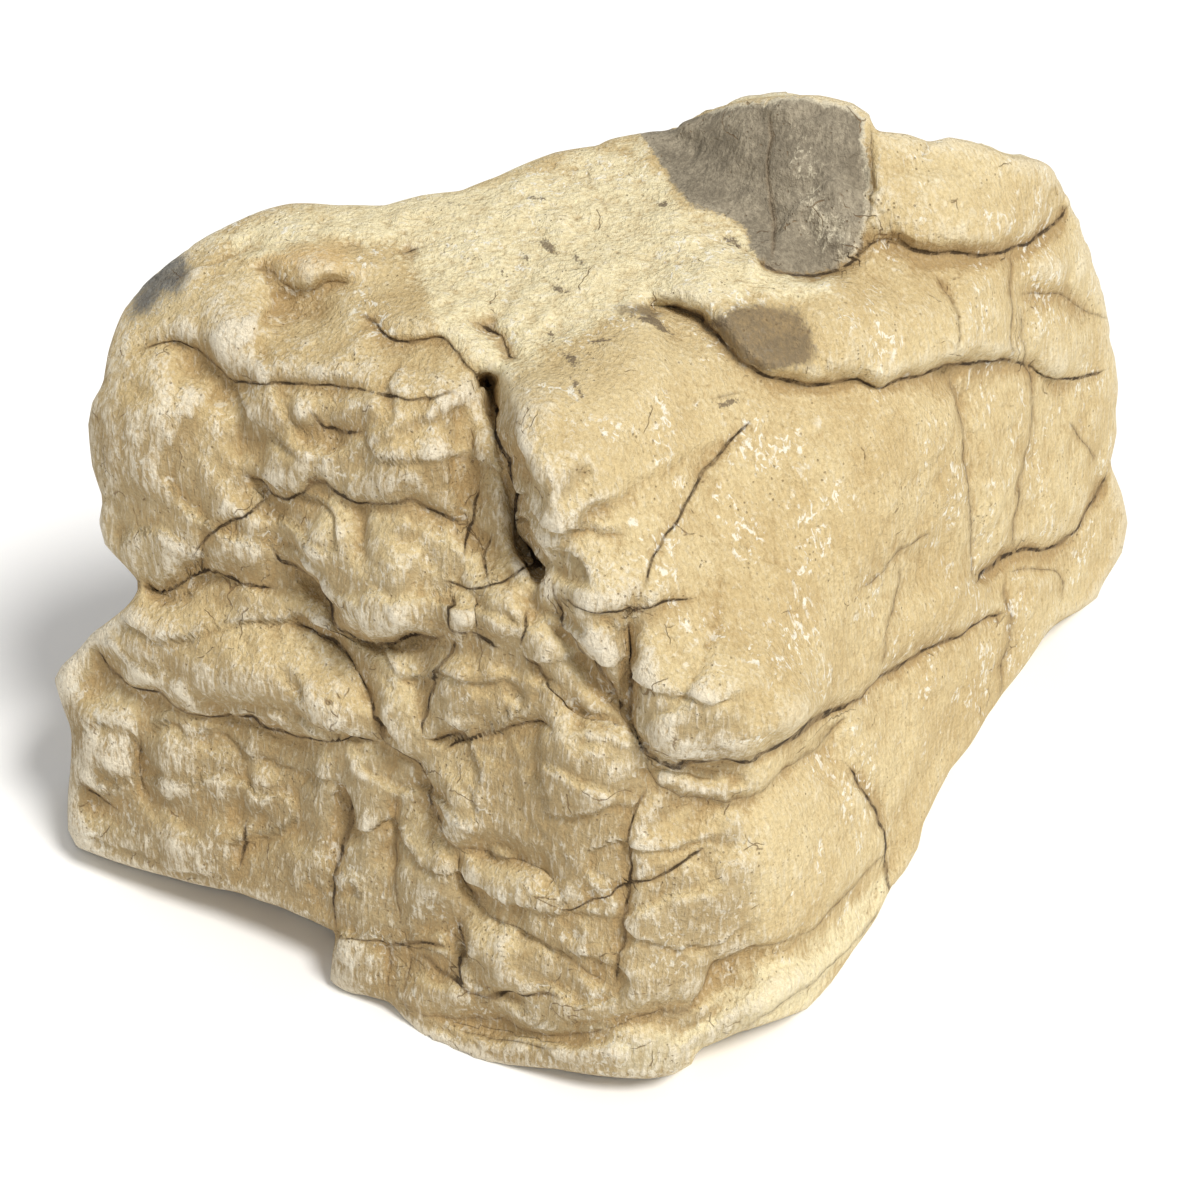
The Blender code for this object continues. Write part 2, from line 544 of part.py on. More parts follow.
def carve_front(mesh):
    """Cuts the cracks and lumps into the side that the sight shows, along the lines of sight."""
    points = coordinates(mesh)
    sight, facing = sight_of(points, normals_of(mesh))
    seen = on_drawing(points)
    uneven = UNEVEN_MEAN + UNEVEN_SPREAD * noise_at(flat_places(seen), UNEVEN_SIZE, UNEVEN_SEED)
    uneven = np.clip(uneven, *UNEVEN_LIMITS)
    seen = wandering(seen)
    depth = crack_relief(seen, uneven) - swelling(seen)
    depth *= ramp(facing, *SHOWN) * ramp(points[:, 2] / MM, 0.0, BED_CALM)
    depth *= RIM_SHARE + (1.0 - RIM_SHARE) * ramp(-past_outline(points), 0.0, RIM_FADE)
    depth = averaged(mesh, depth / np.maximum(facing, LEAST_FACING), EVENING_ROUNDS)
    set_points(mesh, points + sight * depth[:, None] * MM)


def joint_relief(points):
    """How deep the far sides' joints cut in, and how far their blocks are set back, in millimetres."""
    depth = np.zeros(len(points))
    cells = np.zeros((len(points), len(JOINT_SETS)))
    kinds = len(JOINT_SETS)
    for index, (azimuth, elevation, spacing, wander) in enumerate(JOINT_SETS):
        seed = JOINT_SEED + index
        drift = noise_at(points, JOINT_DRIFT_SIZES[0], seed) * wander
        drift += noise_at(points, JOINT_DRIFT_SIZES[1], seed + kinds) * wander * JOINT_FINE_SHARE
        place = (points @ direction(azimuth, elevation) / MM + drift) / spacing
        cells[:, index] = np.floor(place)
        gap = np.abs(place - np.round(place)) * spacing
        opened = ramp(noise_at(points, JOINT_OPEN_SIZE, seed + 2 * kinds), *JOINT_OPEN_LEVELS)
        cut = np.exp(-(gap / JOINT_WIDTH) ** 2) + JOINT_SHOULDER_SHARE * np.exp(-gap / JOINT_SHOULDER)
        depth = np.maximum(depth, JOINT_DEPTH * opened * cut)
    hashed = np.sin(cells @ BLOCK_HASH) * BLOCK_HASH_SCALE
    return depth + BLOCK_OFFSET * (hashed - np.floor(hashed))


def chipped(points, size, seed):
    """Flat chips, each tilted its own way and worn where it meets the next; within about -1 to 1."""
    places = points / (np.array(CHIP_STRETCH) * size * MM) + seed * SEED_STEP
    heights = np.empty(len(places))
    for index, place in enumerate(places):
        place = Vector(place)
        distances, middles = noise.voronoi(place)
        tilt = noise.cell_vector(middles[0] * CHIP_HASH) - CHIP_LEVEL
        worn = min((distances[1] - distances[0]) / CHIP_WEAR, 1.0)
        heights[index] = (place - middles[0]).dot(tilt) * worn
    return heights * CHIP_SCALE


def bedding(points):
    """Worn beds, from 0 to 1: the stone rises slowly and then drops at once, along wandering lines."""
    place = noise_at(points, BEDDING_SIZE, BEDDING_SEED, BEDDING_STRETCH) * BEDDING_COUNT
    place += noise_at(points, BEDDING_FINE_SIZE, BEDDING_SEED + 1) * BEDDING_RAGGED
    rise = place - np.floor(place)
    return rise - ramp(rise, 1.0 - BEDDING_DROP, 1.0)


def wear_surface(mesh):
    """Cuts joints into the sides that the sight does not show and covers the stone with lumps."""
    points, normals = coordinates(mesh), normals_of(mesh)
    _, facing = sight_of(points, normals)
    hidden = ramp(facing, *HIDDEN)
    calm = np.maximum(ramp(np.abs(past_outline(points)), 0.0, RIM_CALM), hidden)
    to_left = ramp(normals @ direction(ROUGH_AZIMUTH, 0), *ROUGH_FACING)
    rough = calm * (SMOOTH_FACE_SHARE + (1.0 - SMOOTH_FACE_SHARE) * to_left)
    lift = -joint_relief(points) * hidden
    for index, (size, height) in enumerate(LUMPS):
        lift += noise_at(points, size, LUMP_SEED + index) * height * calm
    for index, (size, height) in enumerate(CREASED_LUMPS):
        lift += (np.abs(noise_at(points, size, CREASE_SEED + index)) - CREASE_LEVEL) * height * rough
    for index, (size, height) in enumerate(CHIPS):
        lift += chipped(points, size, CHIP_SEED + index) * height * rough
    lift += (bedding(points) - BEDDING_LEVEL) * BEDDING_HEIGHT * rough
    set_points(mesh, points + normals * lift[:, None] * MM)


def thin_to_facets(rock):
    """Merges the smallest faces until the stone has its facets, and keeps the result."""
    thinner = rock.modifiers.new("thin", "DECIMATE")
    triangles = sum(len(face.vertices) - 2 for face in rock.data.polygons)
    thinner.ratio = FACETS / triangles
    graph = bpy.context.evaluated_depsgraph_get()
    thinned = bpy.data.meshes.new_from_object(rock.evaluated_get(graph))
    rock.modifiers.clear()
    rock.data = thinned


def stand_on_origin(mesh):
    """Makes the bed truly flat and moves the middle of the box's bottom face to the origin."""
    points = coordinates(mesh)
    points[points[:, 2] < BED_SNAP, 2] = 0.0
    middle = (points.min(axis=0) + points.max(axis=0)) / 2
    points[:, :2] -= middle[:2]
    set_points(mesh, points)


def tan_stone():
    """Matt, cream to tan weathered limestone."""
    stone = bpy.data.materials.new("tan_stone")
    stone.use_nodes = True
    surface = stone.node_tree.nodes["Principled BSDF"]
    surface.inputs["Base Color"].default_value = (*STONE_COLOUR, 1.0)
    surface.inputs["Roughness"].default_value = STONE_ROUGHNESS
    surface.inputs["Metallic"].default_value = 0.0
    return stone


def make_rock():
    mesh = ball_mesh()
    set_points(mesh, first_surface(ways_out(mesh)))
    carve_front(mesh)
    wear_surface(mesh)
    set_points(mesh, rest_on_bed(coordinates(mesh)))
    rock = bpy.data.objects.new("rock", mesh)
    bpy.context.scene.collection.objects.link(rock)
    thin_to_facets(rock)
    stand_on_origin(rock.data)
    rock.data.materials.clear()
    rock.data.materials.append(tan_stone())


def main():
    for old in list(bpy.data.objects):
        bpy.data.objects.remove(old)
    make_rock()


main()
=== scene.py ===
"""Aquascaping rock: its fine surface and its looks, on a plain pale floor in soft light.

Metres, +Z up, -Y is the front. The stone is laid out as its solid is: a block bounded by worn planes,
trimmed to the outline that it shows to someone who looks down at its front corner, and parted by
cracks. The outline and the cracks are laid out on a square drawing of that sight, 1200 units a side,
with u to the right and v down. What is only colour is left to the material.
"""

import math

import bmesh
import bpy
import numpy as np
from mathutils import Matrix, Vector, noise


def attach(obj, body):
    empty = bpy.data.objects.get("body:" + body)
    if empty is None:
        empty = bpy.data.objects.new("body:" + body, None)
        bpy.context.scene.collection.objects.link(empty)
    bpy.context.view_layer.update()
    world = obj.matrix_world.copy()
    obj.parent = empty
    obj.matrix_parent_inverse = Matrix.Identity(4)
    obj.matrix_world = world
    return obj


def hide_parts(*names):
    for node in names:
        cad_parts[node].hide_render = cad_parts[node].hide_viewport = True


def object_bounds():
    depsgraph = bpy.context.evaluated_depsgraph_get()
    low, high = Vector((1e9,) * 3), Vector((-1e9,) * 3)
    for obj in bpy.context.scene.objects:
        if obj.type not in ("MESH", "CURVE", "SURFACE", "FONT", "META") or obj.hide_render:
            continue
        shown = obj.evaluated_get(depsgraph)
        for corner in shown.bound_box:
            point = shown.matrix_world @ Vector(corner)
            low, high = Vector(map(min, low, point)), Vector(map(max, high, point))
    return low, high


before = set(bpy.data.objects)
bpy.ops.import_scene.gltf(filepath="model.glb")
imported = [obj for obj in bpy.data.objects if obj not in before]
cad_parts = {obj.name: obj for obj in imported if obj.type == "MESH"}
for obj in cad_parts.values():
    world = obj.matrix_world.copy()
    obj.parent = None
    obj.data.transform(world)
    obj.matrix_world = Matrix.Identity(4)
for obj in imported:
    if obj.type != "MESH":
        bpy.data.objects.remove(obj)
solid_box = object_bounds()

MM = 0.001

# The sight: where the stone is looked at from, and how large it then appears on the drawing.
SIGHT_ELEVATION = 38.0
SIGHT_DISTANCE = 0.66
DRAWING_SIZE = 1200.0
DRAWING_MIDDLE = DRAWING_SIZE / 2
UNITS_PER_SLOPE = 2833.0
HEART_HEIGHT = 0.075
UNITS_PER_MM = UNITS_PER_SLOPE * MM / SIGHT_DISTANCE
FILM_WIDTH = 36.0

# How finely the surface is laid out.
CUBE_CUTS = 128
CURVE_STEP = 9.0
CORE = np.array([0.034, 0.034, 0.068])
CROWDING = np.array([-0.19, -0.49, 0.33])
FURTHEST = 0.30
FAR_OFF = 50.0
EDGE_ROUNDING = 0.0035
NOTCH_ROUNDING = 0.0012
RIM_ROUNDING = 0.0008
BED_SNAP = 0.0004
BED_CALM = 14.0
SEARCH_STEPS, SEARCH_HALVINGS = 30, 12
BOX_INSET = 0.00005

# The planes that bound the block: azimuth of the outward normal (0 is the front, 90 the right),
# its elevation, and the plane's distance from the stone's heart.
PLANES = {
    "left_face": (-31, 8, 0.0675),
    "front_nose": (12, 7, 0.082),
    "right_face": (57, 6, 0.072),
    "leaning_slab": (38, 34, 0.083),
    "right_end": (94, 4, 0.150),
    "right_shoulder": (68, 46, 0.136),
    "left_end": (-104, 6, 0.131),
    "left_brow": (-48, 50, 0.104),
    "top": (20, 84, 0.124),
    "back_slope": (180, 32, 0.089),
    "back_left_slope": (-155, 32, 0.096),
    "back": (178, 12, 0.097),
    "back_left": (-138, 12, 0.095),
    "back_right": (128, 20, 0.147),
    "below": (0, -90, 0.095),
}

# The stone's outline on the drawing, clockwise from the notch at the left.
OUTLINE = [
    (141, 584), (127, 568), (105, 545), (99, 522), (103, 499), (92, 466), (88, 425), (92, 402),
    (103, 384), (108, 352), (122, 308), (140, 279), (160, 253), (179, 236), (217, 220), (249, 208),
    (287, 202), (335, 205), (383, 206), (422, 195), (460, 191), (498, 176), (555, 152), (597, 145),
    (625, 128), (651, 116), (702, 107), (746, 98), (800, 95), (820, 95), (853, 103), (869, 114),
    (876, 131), (907, 134), (930, 142), (949, 137), (971, 141), (1009, 155), (1054, 162), (1076, 173),
    (1082, 186), (1102, 205), (1116, 227), (1120, 260), (1116, 289), (1118, 312), (1111, 337),
    (1118, 356), (1120, 385), (1116, 410), (1117, 433), (1110, 464), (1122, 493), (1128, 522),
    (1122, 553), (1103, 583), (1097, 598), (1079, 611), (1060, 620), (1046, 633), (1028, 661),
    (1003, 693), (987, 716), (971, 744), (950, 770), (937, 795), (923, 824), (918, 848), (904, 872),
    (890, 888), (877, 917), (852, 952), (830, 984), (807, 1009), (772, 1022), (737, 1033), (699, 1049),
    (692, 1064), (673, 1075), (648, 1079), (600, 1076), (556, 1069), (505, 1064), (467, 1059),
    (435, 1048), (409, 1023), (390, 1002), (368, 996), (342, 990), (330, 981), (333, 950), (338, 933),
    (313, 921), (281, 907), (237, 892), (166, 876), (105, 858), (77, 847), (68, 830), (68, 794),
    (71, 762), (72, 731), (62, 705), (54, 680), (61, 666), (75, 654), (92, 633), (112, 619), (131, 603),
]

# How the stone gives way at a crack: the depth and half-width of the slit itself, the depth and width
# of the worn shoulders beside it, and how far the step across it is rounded and felt, in millimetres.
OPENINGS = {
    "chasm": (12.0, 2.4, 4.0, 8.0, 2.4, 24.0),
    "deep": (3.6, 1.5, 2.2, 5.5, 1.8, 18.0),
    "open": (1.7, 1.25, 1.5, 4.5, 1.5, 13.0),
    "fine": (0.6, 1.0, 0.6, 3.0, 0.9, 8.0),
    "soft": (0.4, 1.0, 1.3, 3.2, 1.3, 8.0),
    "seam": (0.2, 0.9, 0.3, 2.0, 0.8, 5.0),
    "worn": (0.7, 1.4, 1.5, 4.5, 1.6, 13.0),
}
# How dark each kind of crack is inside, as painted shade of its depth, and how much soil lies beside it.
DARKNESS = {"chasm": 1.0, "deep": 0.9, "open": 0.85, "fine": 0.85, "soft": 0.55, "seam": 0.5, "worn": 0.45}
STEP_PROUD, STEP_LOW = 1.0, 0.75
SHARP_SIDE, WORN_SIDE = 1.7, 0.8
END_TAPER = 14.0
END_SHARE = 0.25
STEP_TAPER = 55.0
CRACK_REACH = 50.0
LINE_REACH = (2.4, 1.4)
STAIN_WIDTH, STAIN_POWER = 3.2, 1.5
# The cracks wander by noise of these sizes in millimetres, by so many units on the drawing.
CRACK_WANDER = [(11.0, 5.0), (3.6, 2.4)]
# Their depth varies by noise of this size in millimetres, about this mean and within these limits.
UNEVEN_SIZE = 24.0
UNEVEN_MEAN, UNEVEN_SPREAD = 0.8, 0.7
UNEVEN_LIMITS = (0.35, 1.25)

# Lumps and recesses of the worn faces, listed one by one: middle on the drawing, half-length and
# half-width, tilt of the long side in degrees, clockwise, and height in millimetres.
SWELLS = [
    # The left face under its brow.
    (216, 380, 42, 30, 40, -3.5), (246, 445, 20, 45, 0, -2.5), (146, 445, 42, 70, 0, 2.5),
    (275, 409, 38, 27, 0, 3.2), (360, 412, 50, 22, 0, 2.0), (301, 462, 45, 23, 5, 2.6),
    (401, 462, 55, 30, 0, 3.2), (323, 522, 42, 42, 0, 3.2), (410, 545, 50, 45, 0, 3.2),
    (326, 262, 48, 15, 5, 2.6), (244, 322, 30, 20, 0, 2.2), (296, 306, 38, 13, 5, -2.4),
    (420, 310, 40, 20, 10, 2.0), (468, 450, 20, 75, -5, -3.5), (362, 528, 9, 36, 0, -1.2),
    (160, 545, 30, 26, -35, 1.8), (225, 540, 38, 26, -35, 1.6),
    # The long slab and the blocks at the lower left.
    (215, 655, 105, 34, 20, 3.6), (336, 706, 45, 24, 20, 2.2), (62, 680, 14, 22, 0, 1.4),
    (100, 690, 14, 22, 0, -1.8), (102, 742, 36, 42, 0, 2.6), (145, 760, 8, 36, 0, -1.8),
    (175, 756, 30, 30, 0, 2.6), (221, 786, 18, 22, 0, 1.5), (261, 796, 16, 30, 0, 1.4),
    (322, 812, 17, 85, 0, 1.8), (364, 800, 16, 75, 0, 1.6), (180, 838, 60, 26, 12, 1.8),
    (290, 868, 30, 30, 0, 1.2),
    # Round the meeting of the faces.
    (392, 598, 58, 42, 10, 3.6), (460, 617, 13, 22, 0, 4.2), (501, 617, 26, 30, 0, 4.6),
    (560, 672, 68, 17, 52, 3.4), (604, 652, 42, 14, 65, 2.6), (474, 688, 44, 38, 0, 3.2),
    (397, 697, 26, 44, 0, 2.0), (573, 789, 76, 52, 10, 3.2), (461, 806, 20, 32, 20, 2.0),
    (501, 877, 50, 20, 25, 3.0), (438, 878, 22, 38, 0, 2.6), (524, 853, 55, 8, 25, -2.0),
    # The foot.
    (510, 955, 66, 27, 8, 3.0), (429, 957, 14, 12, 0, 2.0), (440, 995, 26, 15, 10, 2.6),
    (520, 1052, 110, 11, 5, 2.4), (626, 1046, 46, 18, -5, 2.4), (514, 1030, 90, 9, 6, -2.0),
    (360, 968, 24, 26, 0, 2.0),
    # The leaning slab, the ledge under it and the block below.
    (535, 450, 28, 80, -5, 2.6), (610, 520, 90, 130, 0, 2.6), (705, 700, 62, 42, -20, 4.6),
    (860, 470, 90, 90, 0, 1.6), (690, 773, 45, 9, 10, -2.4), (745, 852, 110, 52, -38, 3.2),
    (930, 610, 60, 22, -35, 1.4), (955, 690, 60, 40, -50, 1.8), (760, 1000, 110, 14, -32, 2.2),
    # The columns and courses at the upper right.
    (990, 460, 24, 90, 0, 1.6), (1060, 420, 30, 60, 0, 1.8), (905, 310, 28, 42, 0, 2.2),
    (978, 310, 30, 46, 0, 2.2), (1060, 260, 40, 26, 0, 2.2), (1066, 330, 38, 20, 0, 1.8),
    (950, 205, 62, 34, 10, 2.6), (840, 330, 40, 36, 0, 2.6), (1095, 520, 24, 40, 0, 1.8),
    (1032, 600, 20, 30, 0, 1.2),
]
SWELL_POWER = 3

# How far a place has to face the sight for the drawing's forms to show on it, and to have its colours.
# They fade towards the rim too, over so many units on the drawing. What it doesn't show has joints.
SHOWN = (0.08, 0.38)
IN_SIGHT = 0.01
HIDDEN = (0.03, -0.22)
LEAST_FACING = 0.5
RIM_FADE, RIM_CALM = 16.0, 24.0
RIM_SHARE = 0.20
EVENING_ROUNDS = 2

# The far sides are parted by three sets of joints: the azimuth and elevation that the joints face,
# how far apart they run, and how much they wander, the last two in millimetres.
JOINT_SETS = [(150, 8, 78.0, 30.0), (70, 12, 84.0, 34.0), (30, 70, 52.0, 26.0)]
JOINT_DEPTH, JOINT_WIDTH = 4.4, 1.9
# How dark the joints are inside, as painted shade of their depth, and how much soil lies beside them.
JOINT_DARK = 0.6
JOINT_SHOULDER, JOINT_SHOULDER_SHARE = 7.0, 0.5
JOINT_DRIFT_SIZES, JOINT_FINE_SHARE = (90.0, 24.0), 0.2
JOINT_OPEN_SIZE, JOINT_OPEN_LEVELS = 38.0, (-0.55, 0.45)
# A joint dies out where it runs almost along the surface.
JOINT_STEEPNESS, STEEPNESS_ROUNDS = (0.40, 0.70), 6
BLOCK_OFFSET = 3.0
BLOCK_HASH = np.array([12.9, 78.2, 37.7])
BLOCK_HASH_SCALE = 43.7

# Lumps of the worn surface: their size and height in millimetres.
LUMPS = [(46.0, 2.2), (17.0, 0.9), (7.0, 0.4), (3.2, 0.2)]
# Lumps with creases between them, which the left face has most of.
CREASED_LUMPS = [(24.0, 1.5), (8.0, 0.8)]
CREASE_LEVEL = 0.2
# Flat chips that the stone has lost: their size and height in millimetres. They are longer upright.
CHIPS = [(17.0, 2.6), (6.5, 0.9)]
CHIP_STRETCH = (1.0, 1.0, 1.7)
CHIP_WEAR = 0.35
CHIP_SCALE = 2.0
CHIP_HASH = 97.0
CHIP_LEVEL = Vector((0.5, 0.5, 0.5))
# Worn bedding: its size, how many ledges it makes, and their height, in millimetres.
BEDDING_SIZE = 36.0
BEDDING_STRETCH = (1.3, 1.3, 0.6)
BEDDING_COUNT = 1.9
BEDDING_FINE_SIZE = 9.0
BEDDING_RAGGED = 0.35
BEDDING_HEIGHT = 1.7
BEDDING_LEVEL = 0.4
BEDDING_DROP = 0.10
# The broken crust's lumps, and over how many millimetres they end at its edge and at the grey break's.
CRUST_SIZES, CRUST_FINE_SHARE = (8.0, 3.4), 0.5
CRUST_LEVEL, CRUST_HEIGHT = 0.35, 1.3
CRUST_EDGE, GREY_EDGE = 1.5, 0.5
# The left face's upright ripples.
RIPPLE_SIZE, RIPPLE_STRETCH, RIPPLE_HEIGHT = 3.4, (1.0, 1.0, 4.5), 0.35
# The stone is roughest where it faces to the left. Other places have these shares of that roughness.
ROUGH_AZIMUTH = -45
ROUGH_FACING = (0.15, 0.50)
SMOOTH_FACE_SHARE = 0.25
FAR_SIDE_SHARE = 0.6
# The heights of a normal between which the painted shade of the left face gives way, and the height above
# which the far top is crusted, with how many millimetres inside its edge a difference of 1 counts as.
TURNED_UP = (0.20, 0.65)
CRUSTED_LEVEL, CRUSTED_SCALE = 0.75, 30.0
# How many times the surface is evened out to find its small and its broad hollows.
FINE_ROUNDS, BROAD_ROUNDS, BLEND_ROUNDS = 14, 110, 6
# Seeds of the noise.
SEED_STEP = 7.31
JOINT_SEED, LUMP_SEED, WANDER_SEED, UNEVEN_SEED = 1, 11, 20, 27
CRUST_SEED, RIPPLE_SEED, BEDDING_SEED, CREASE_SEED, CHIP_SEED = 31, 33, 41, 45, 51

# Cracks: opening, the side that stands proud and by how many millimetres, and the line on the drawing.
CRACKS = [
    # The left face, from its brow down.
    ("open", "upper", 2.6, [(140, 353), (190, 341), (236, 376), (300, 384), (351, 388), (376, 393)]),
    ("fine", "upper", 1.0, [(351, 388), (385, 394), (421, 397), (462, 390)]),
    ("worn", "upper", 4.0, [(249, 272), (271, 274), (293, 290), (319, 291), (328, 283), (360, 282)]),
    ("seam", "upper", 1.0, [(239, 440), (261, 442)]),
    ("fine", "upper", 1.5, [(309, 406), (322, 428), (335, 435), (360, 436)]),
    ("open", "upper", 3.0, [(245, 473), (284, 498), (322, 484), (360, 502), (408, 497), (446, 516),
     (469, 524)]),
    ("fine", "upper", 1.5, [(190, 560), (210, 537), (252, 510), (271, 494)]),
    ("fine", "left", 1.0, [(478, 486), (472, 524), (462, 559)]),
    ("deep", "upper", 3.0, [(138, 586), (169, 585), (204, 571), (249, 581), (281, 586)]),
    ("deep", "upper", 5.0, [(271, 542), (281, 555), (303, 571), (332, 609), (336, 625), (373, 644),
     (414, 641), (450, 632)]),
    ("open", "right", 2.5, [(287, 622), (325, 633), (354, 660), (371, 695), (386, 737), (418, 764),
     (437, 810), (450, 826)]),
    ("open", "upper", 3.0, [(92, 651), (121, 678), (163, 694), (223, 715), (242, 711), (284, 731),
     (354, 737), (383, 739)]),
    ("fine", "upper", 1.0, [(62, 705), (77, 703)]),
    ("fine", "right", 2.0, [(459, 633), (437, 673), (427, 705), (422, 737)]),
    ("fine", "upper", 0.5, [(469, 633), (485, 641), (503, 651)]),
    ("fine", "lower", 1.0, [(437, 753), (462, 740), (500, 732)]),
    ("soft", "left", 0.8, [(147, 731), (140, 769), (150, 801)]),
    ("fine", "left", 0.5, [(245, 817), (237, 874)]),
    ("fine", "upper", 0.5, [(76, 778), (99, 798), (121, 813)]),
    ("fine", "right", 2.0, [(344, 790), (338, 850), (338, 905), (335, 935)]),
    ("soft", "right", 1.0, [(395, 790), (395, 861), (402, 928)]),
    ("open", "right", 1.5, [(462, 848), (462, 871), (472, 890), (485, 903)]),
    # The corner between the faces, where the leaning slab stands proud.
    ("chasm", "right", 7.0, [(478, 372), (490, 388), (503, 442), (513, 487), (527, 541), (541, 570),
     (554, 573)]),
    ("open", "right", 3.0, [(554, 573), (567, 615), (592, 656), (615, 696), (631, 723)]),
    ("fine", "upper", 2.0, [(560, 592), (580, 602), (627, 608), (669, 600), (698, 597)]),
    ("deep", "right", 3.0, [(631, 615), (632, 685), (632, 717), (643, 739)]),
    ("deep", "upper", 7.0, [(632, 717), (643, 739), (678, 761), (721, 755), (745, 758), (796, 728),
     (850, 704)]),
    ("worn", "upper", 3.5, [(643, 745), (648, 768), (669, 790), (710, 795), (749, 795), (812, 745),
     (850, 717)]),
    ("fine", "left", 0.8, [(497, 528), (487, 554), (492, 580)]),
    ("fine", "upper", 1.0, [(439, 576), (490, 586), (522, 570), (544, 571)]),
    ("fine", "lower", 0.5, [(455, 586), (452, 627), (471, 632), (503, 651)]),
    ("fine", "right", 0.3, [(474, 592), (477, 611), (473, 631)]),
    ("fine", "right", 1.0, [(530, 605), (524, 631), (522, 646)]),
    ("open", "left", 1.5, [(522, 648), (557, 685), (580, 717), (627, 726)]),
    ("open", "upper", 2.0, [(423, 739), (487, 733), (541, 720), (554, 729)]),
    ("fine", "left", 0.5, [(615, 697), (624, 704), (627, 717)]),
    ("fine", "right", 1.5, [(643, 787), (630, 828), (634, 873), (626, 921), (613, 988)]),
    ("fine", "right", 0.5, [(755, 414), (717, 458), (688, 503), (653, 564), (645, 592)]),
    ("seam", "left", 0.0, [(745, 388), (726, 395), (710, 401)]),
    # The right face.
    ("soft", "left", 2.5, [(955, 372), (957, 400), (965, 496), (971, 559), (970, 583)]),
    ("soft", "left", 1.8, [(1025, 305), (1025, 400), (1022, 496), (1016, 556)]),
    ("deep", "upper", 3.0, [(970, 583), (1014, 556), (1060, 540), (1095, 502), (1108, 470)]),
    ("worn", "lower", 2.0, [(1006, 572), (1032, 570), (1054, 572), (1060, 585), (1059, 607)]),
    ("open", "upper", 3.0, [(745, 757), (796, 732), (859, 700), (923, 655), (974, 623), (1008, 612)]),
    ("soft", "left", 1.5, [(1006, 578), (1008, 636), (1003, 671), (995, 703)]),
    ("seam", "left", 0.4, [(933, 527), (904, 550), (878, 572), (859, 591)]),
    ("seam", "left", 0.6, [(901, 559), (898, 598), (891, 642), (882, 674)]),
    ("fine", "left", 2.2, [(840, 760), (872, 805), (885, 846), (888, 900)]),
    ("worn", "upper", 3.0, [(600, 1030), (676, 1006), (737, 955), (798, 933), (855, 879), (890, 850)]),
    ("seam", "upper", 1.0, [(740, 1030), (772, 1006), (829, 961), (852, 942), (880, 904)]),
    # The upper right courses.
    ("deep", "upper", 4.5, [(640, 306), (690, 312), (725, 343), (764, 375), (808, 386), (856, 375),
     (878, 385), (945, 369), (1022, 364), (1060, 377), (1108, 367)]),
    ("open", "upper", 2.0, [(840, 270), (878, 241), (923, 252), (987, 256), (1041, 235), (1073, 203)]),
    ("worn", "upper", 2.5, [(1022, 295), (1060, 294), (1092, 315), (1113, 321)]),
    ("soft", "left", 0.8, [(936, 273), (952, 305), (958, 337), (957, 356)]),
    ("soft", "left", 0.8, [(1009, 254), (1011, 289), (1014, 321), (1012, 362)]),
    ("soft", "left", 0.5, [(891, 222), (898, 251)]),
    ("soft", "left", 0.5, [(929, 142), (921, 163)]),
    ("soft", "left", 0.5, [(1067, 420), (1095, 468)]),
    # The cliff: a crease down its middle, and the pale edge where it meets the smooth block.
    ("soft", "right", 0.3, [(766, 110), (768, 180), (775, 262)]),
    ("seam", "right", 3.0, [(872, 122), (870, 180), (866, 235)]),
    ("open", "lower", 3.0, [(757, 258), (775, 270), (838, 271), (866, 237)]),
    # The broken edge of the crust above the main crack.
    ("fine", "upper", 1.6, [(360, 311), (399, 340), (443, 339), (466, 366), (488, 388)]),
    ("fine", "upper", 1.0, [(396, 254), (424, 248)]),
    ("open", "upper", 1.5, [(475, 321), (504, 337), (510, 356), (523, 362)]),
    # The lower middle block.
    ("worn", "upper", 2.5, [(419, 762), (438, 816), (454, 841), (492, 851), (546, 870), (562, 886)]),
    ("worn", "upper", 2.0, [(460, 867), (483, 905), (543, 938), (581, 966), (604, 985)]),
    ("fine", "right", 1.0, [(454, 918), (457, 978), (473, 994)]),
    ("fine", "upper", 0.5, [(556, 910), (588, 897), (648, 880), (709, 849)]),
    ("fine", "upper", 1.0, [(339, 937), (387, 940), (450, 950)]),
    ("soft", "right", 1.0, [(387, 937), (389, 1001)]),
    ("soft", "right", 1.0, [(409, 930), (411, 1023)]),
    ("fine", "upper", 1.5, [(412, 953), (473, 994), (537, 994), (562, 1002)]),
    ("worn", "upper", 2.0, [(412, 997), (441, 1016), (498, 1020), (569, 1037), (632, 1022)]),
    ("soft", "upper", 1.0, [(451, 1029), (492, 1036), (562, 1052)]),
]

# Dark flecks in the crust, partly painted shade of pits: middle on the drawing, half-length and
# half-width, tilt clockwise in degrees.
FLECKS = [
    (551, 249, 11, 5, 45), (580, 266, 11, 3.5, 50), (563, 292, 14, 3.5, 30), (540, 204, 18, 3, 15),
    (654, 327, 26, 6, 20), (626, 321, 16, 3, -10), (569, 362, 13, 5, 45), (550, 338, 12, 3.5, 75),
    (573, 388, 15, 3.5, 50), (664, 204, 8, 4, 20), (735, 239, 13, 4, 20), (718, 326, 12, 4, 10),
    (730, 401, 16, 4, -15), (504, 274, 12, 3, 20), (528, 258, 9, 2.5, 50), (497, 237, 9, 2.5, 35),
    (600, 345, 18, 2.5, -5), (612, 236, 9, 2.5, 40), (470, 262, 10, 2.5, 10), (456, 208, 14, 2.5, 5),
]

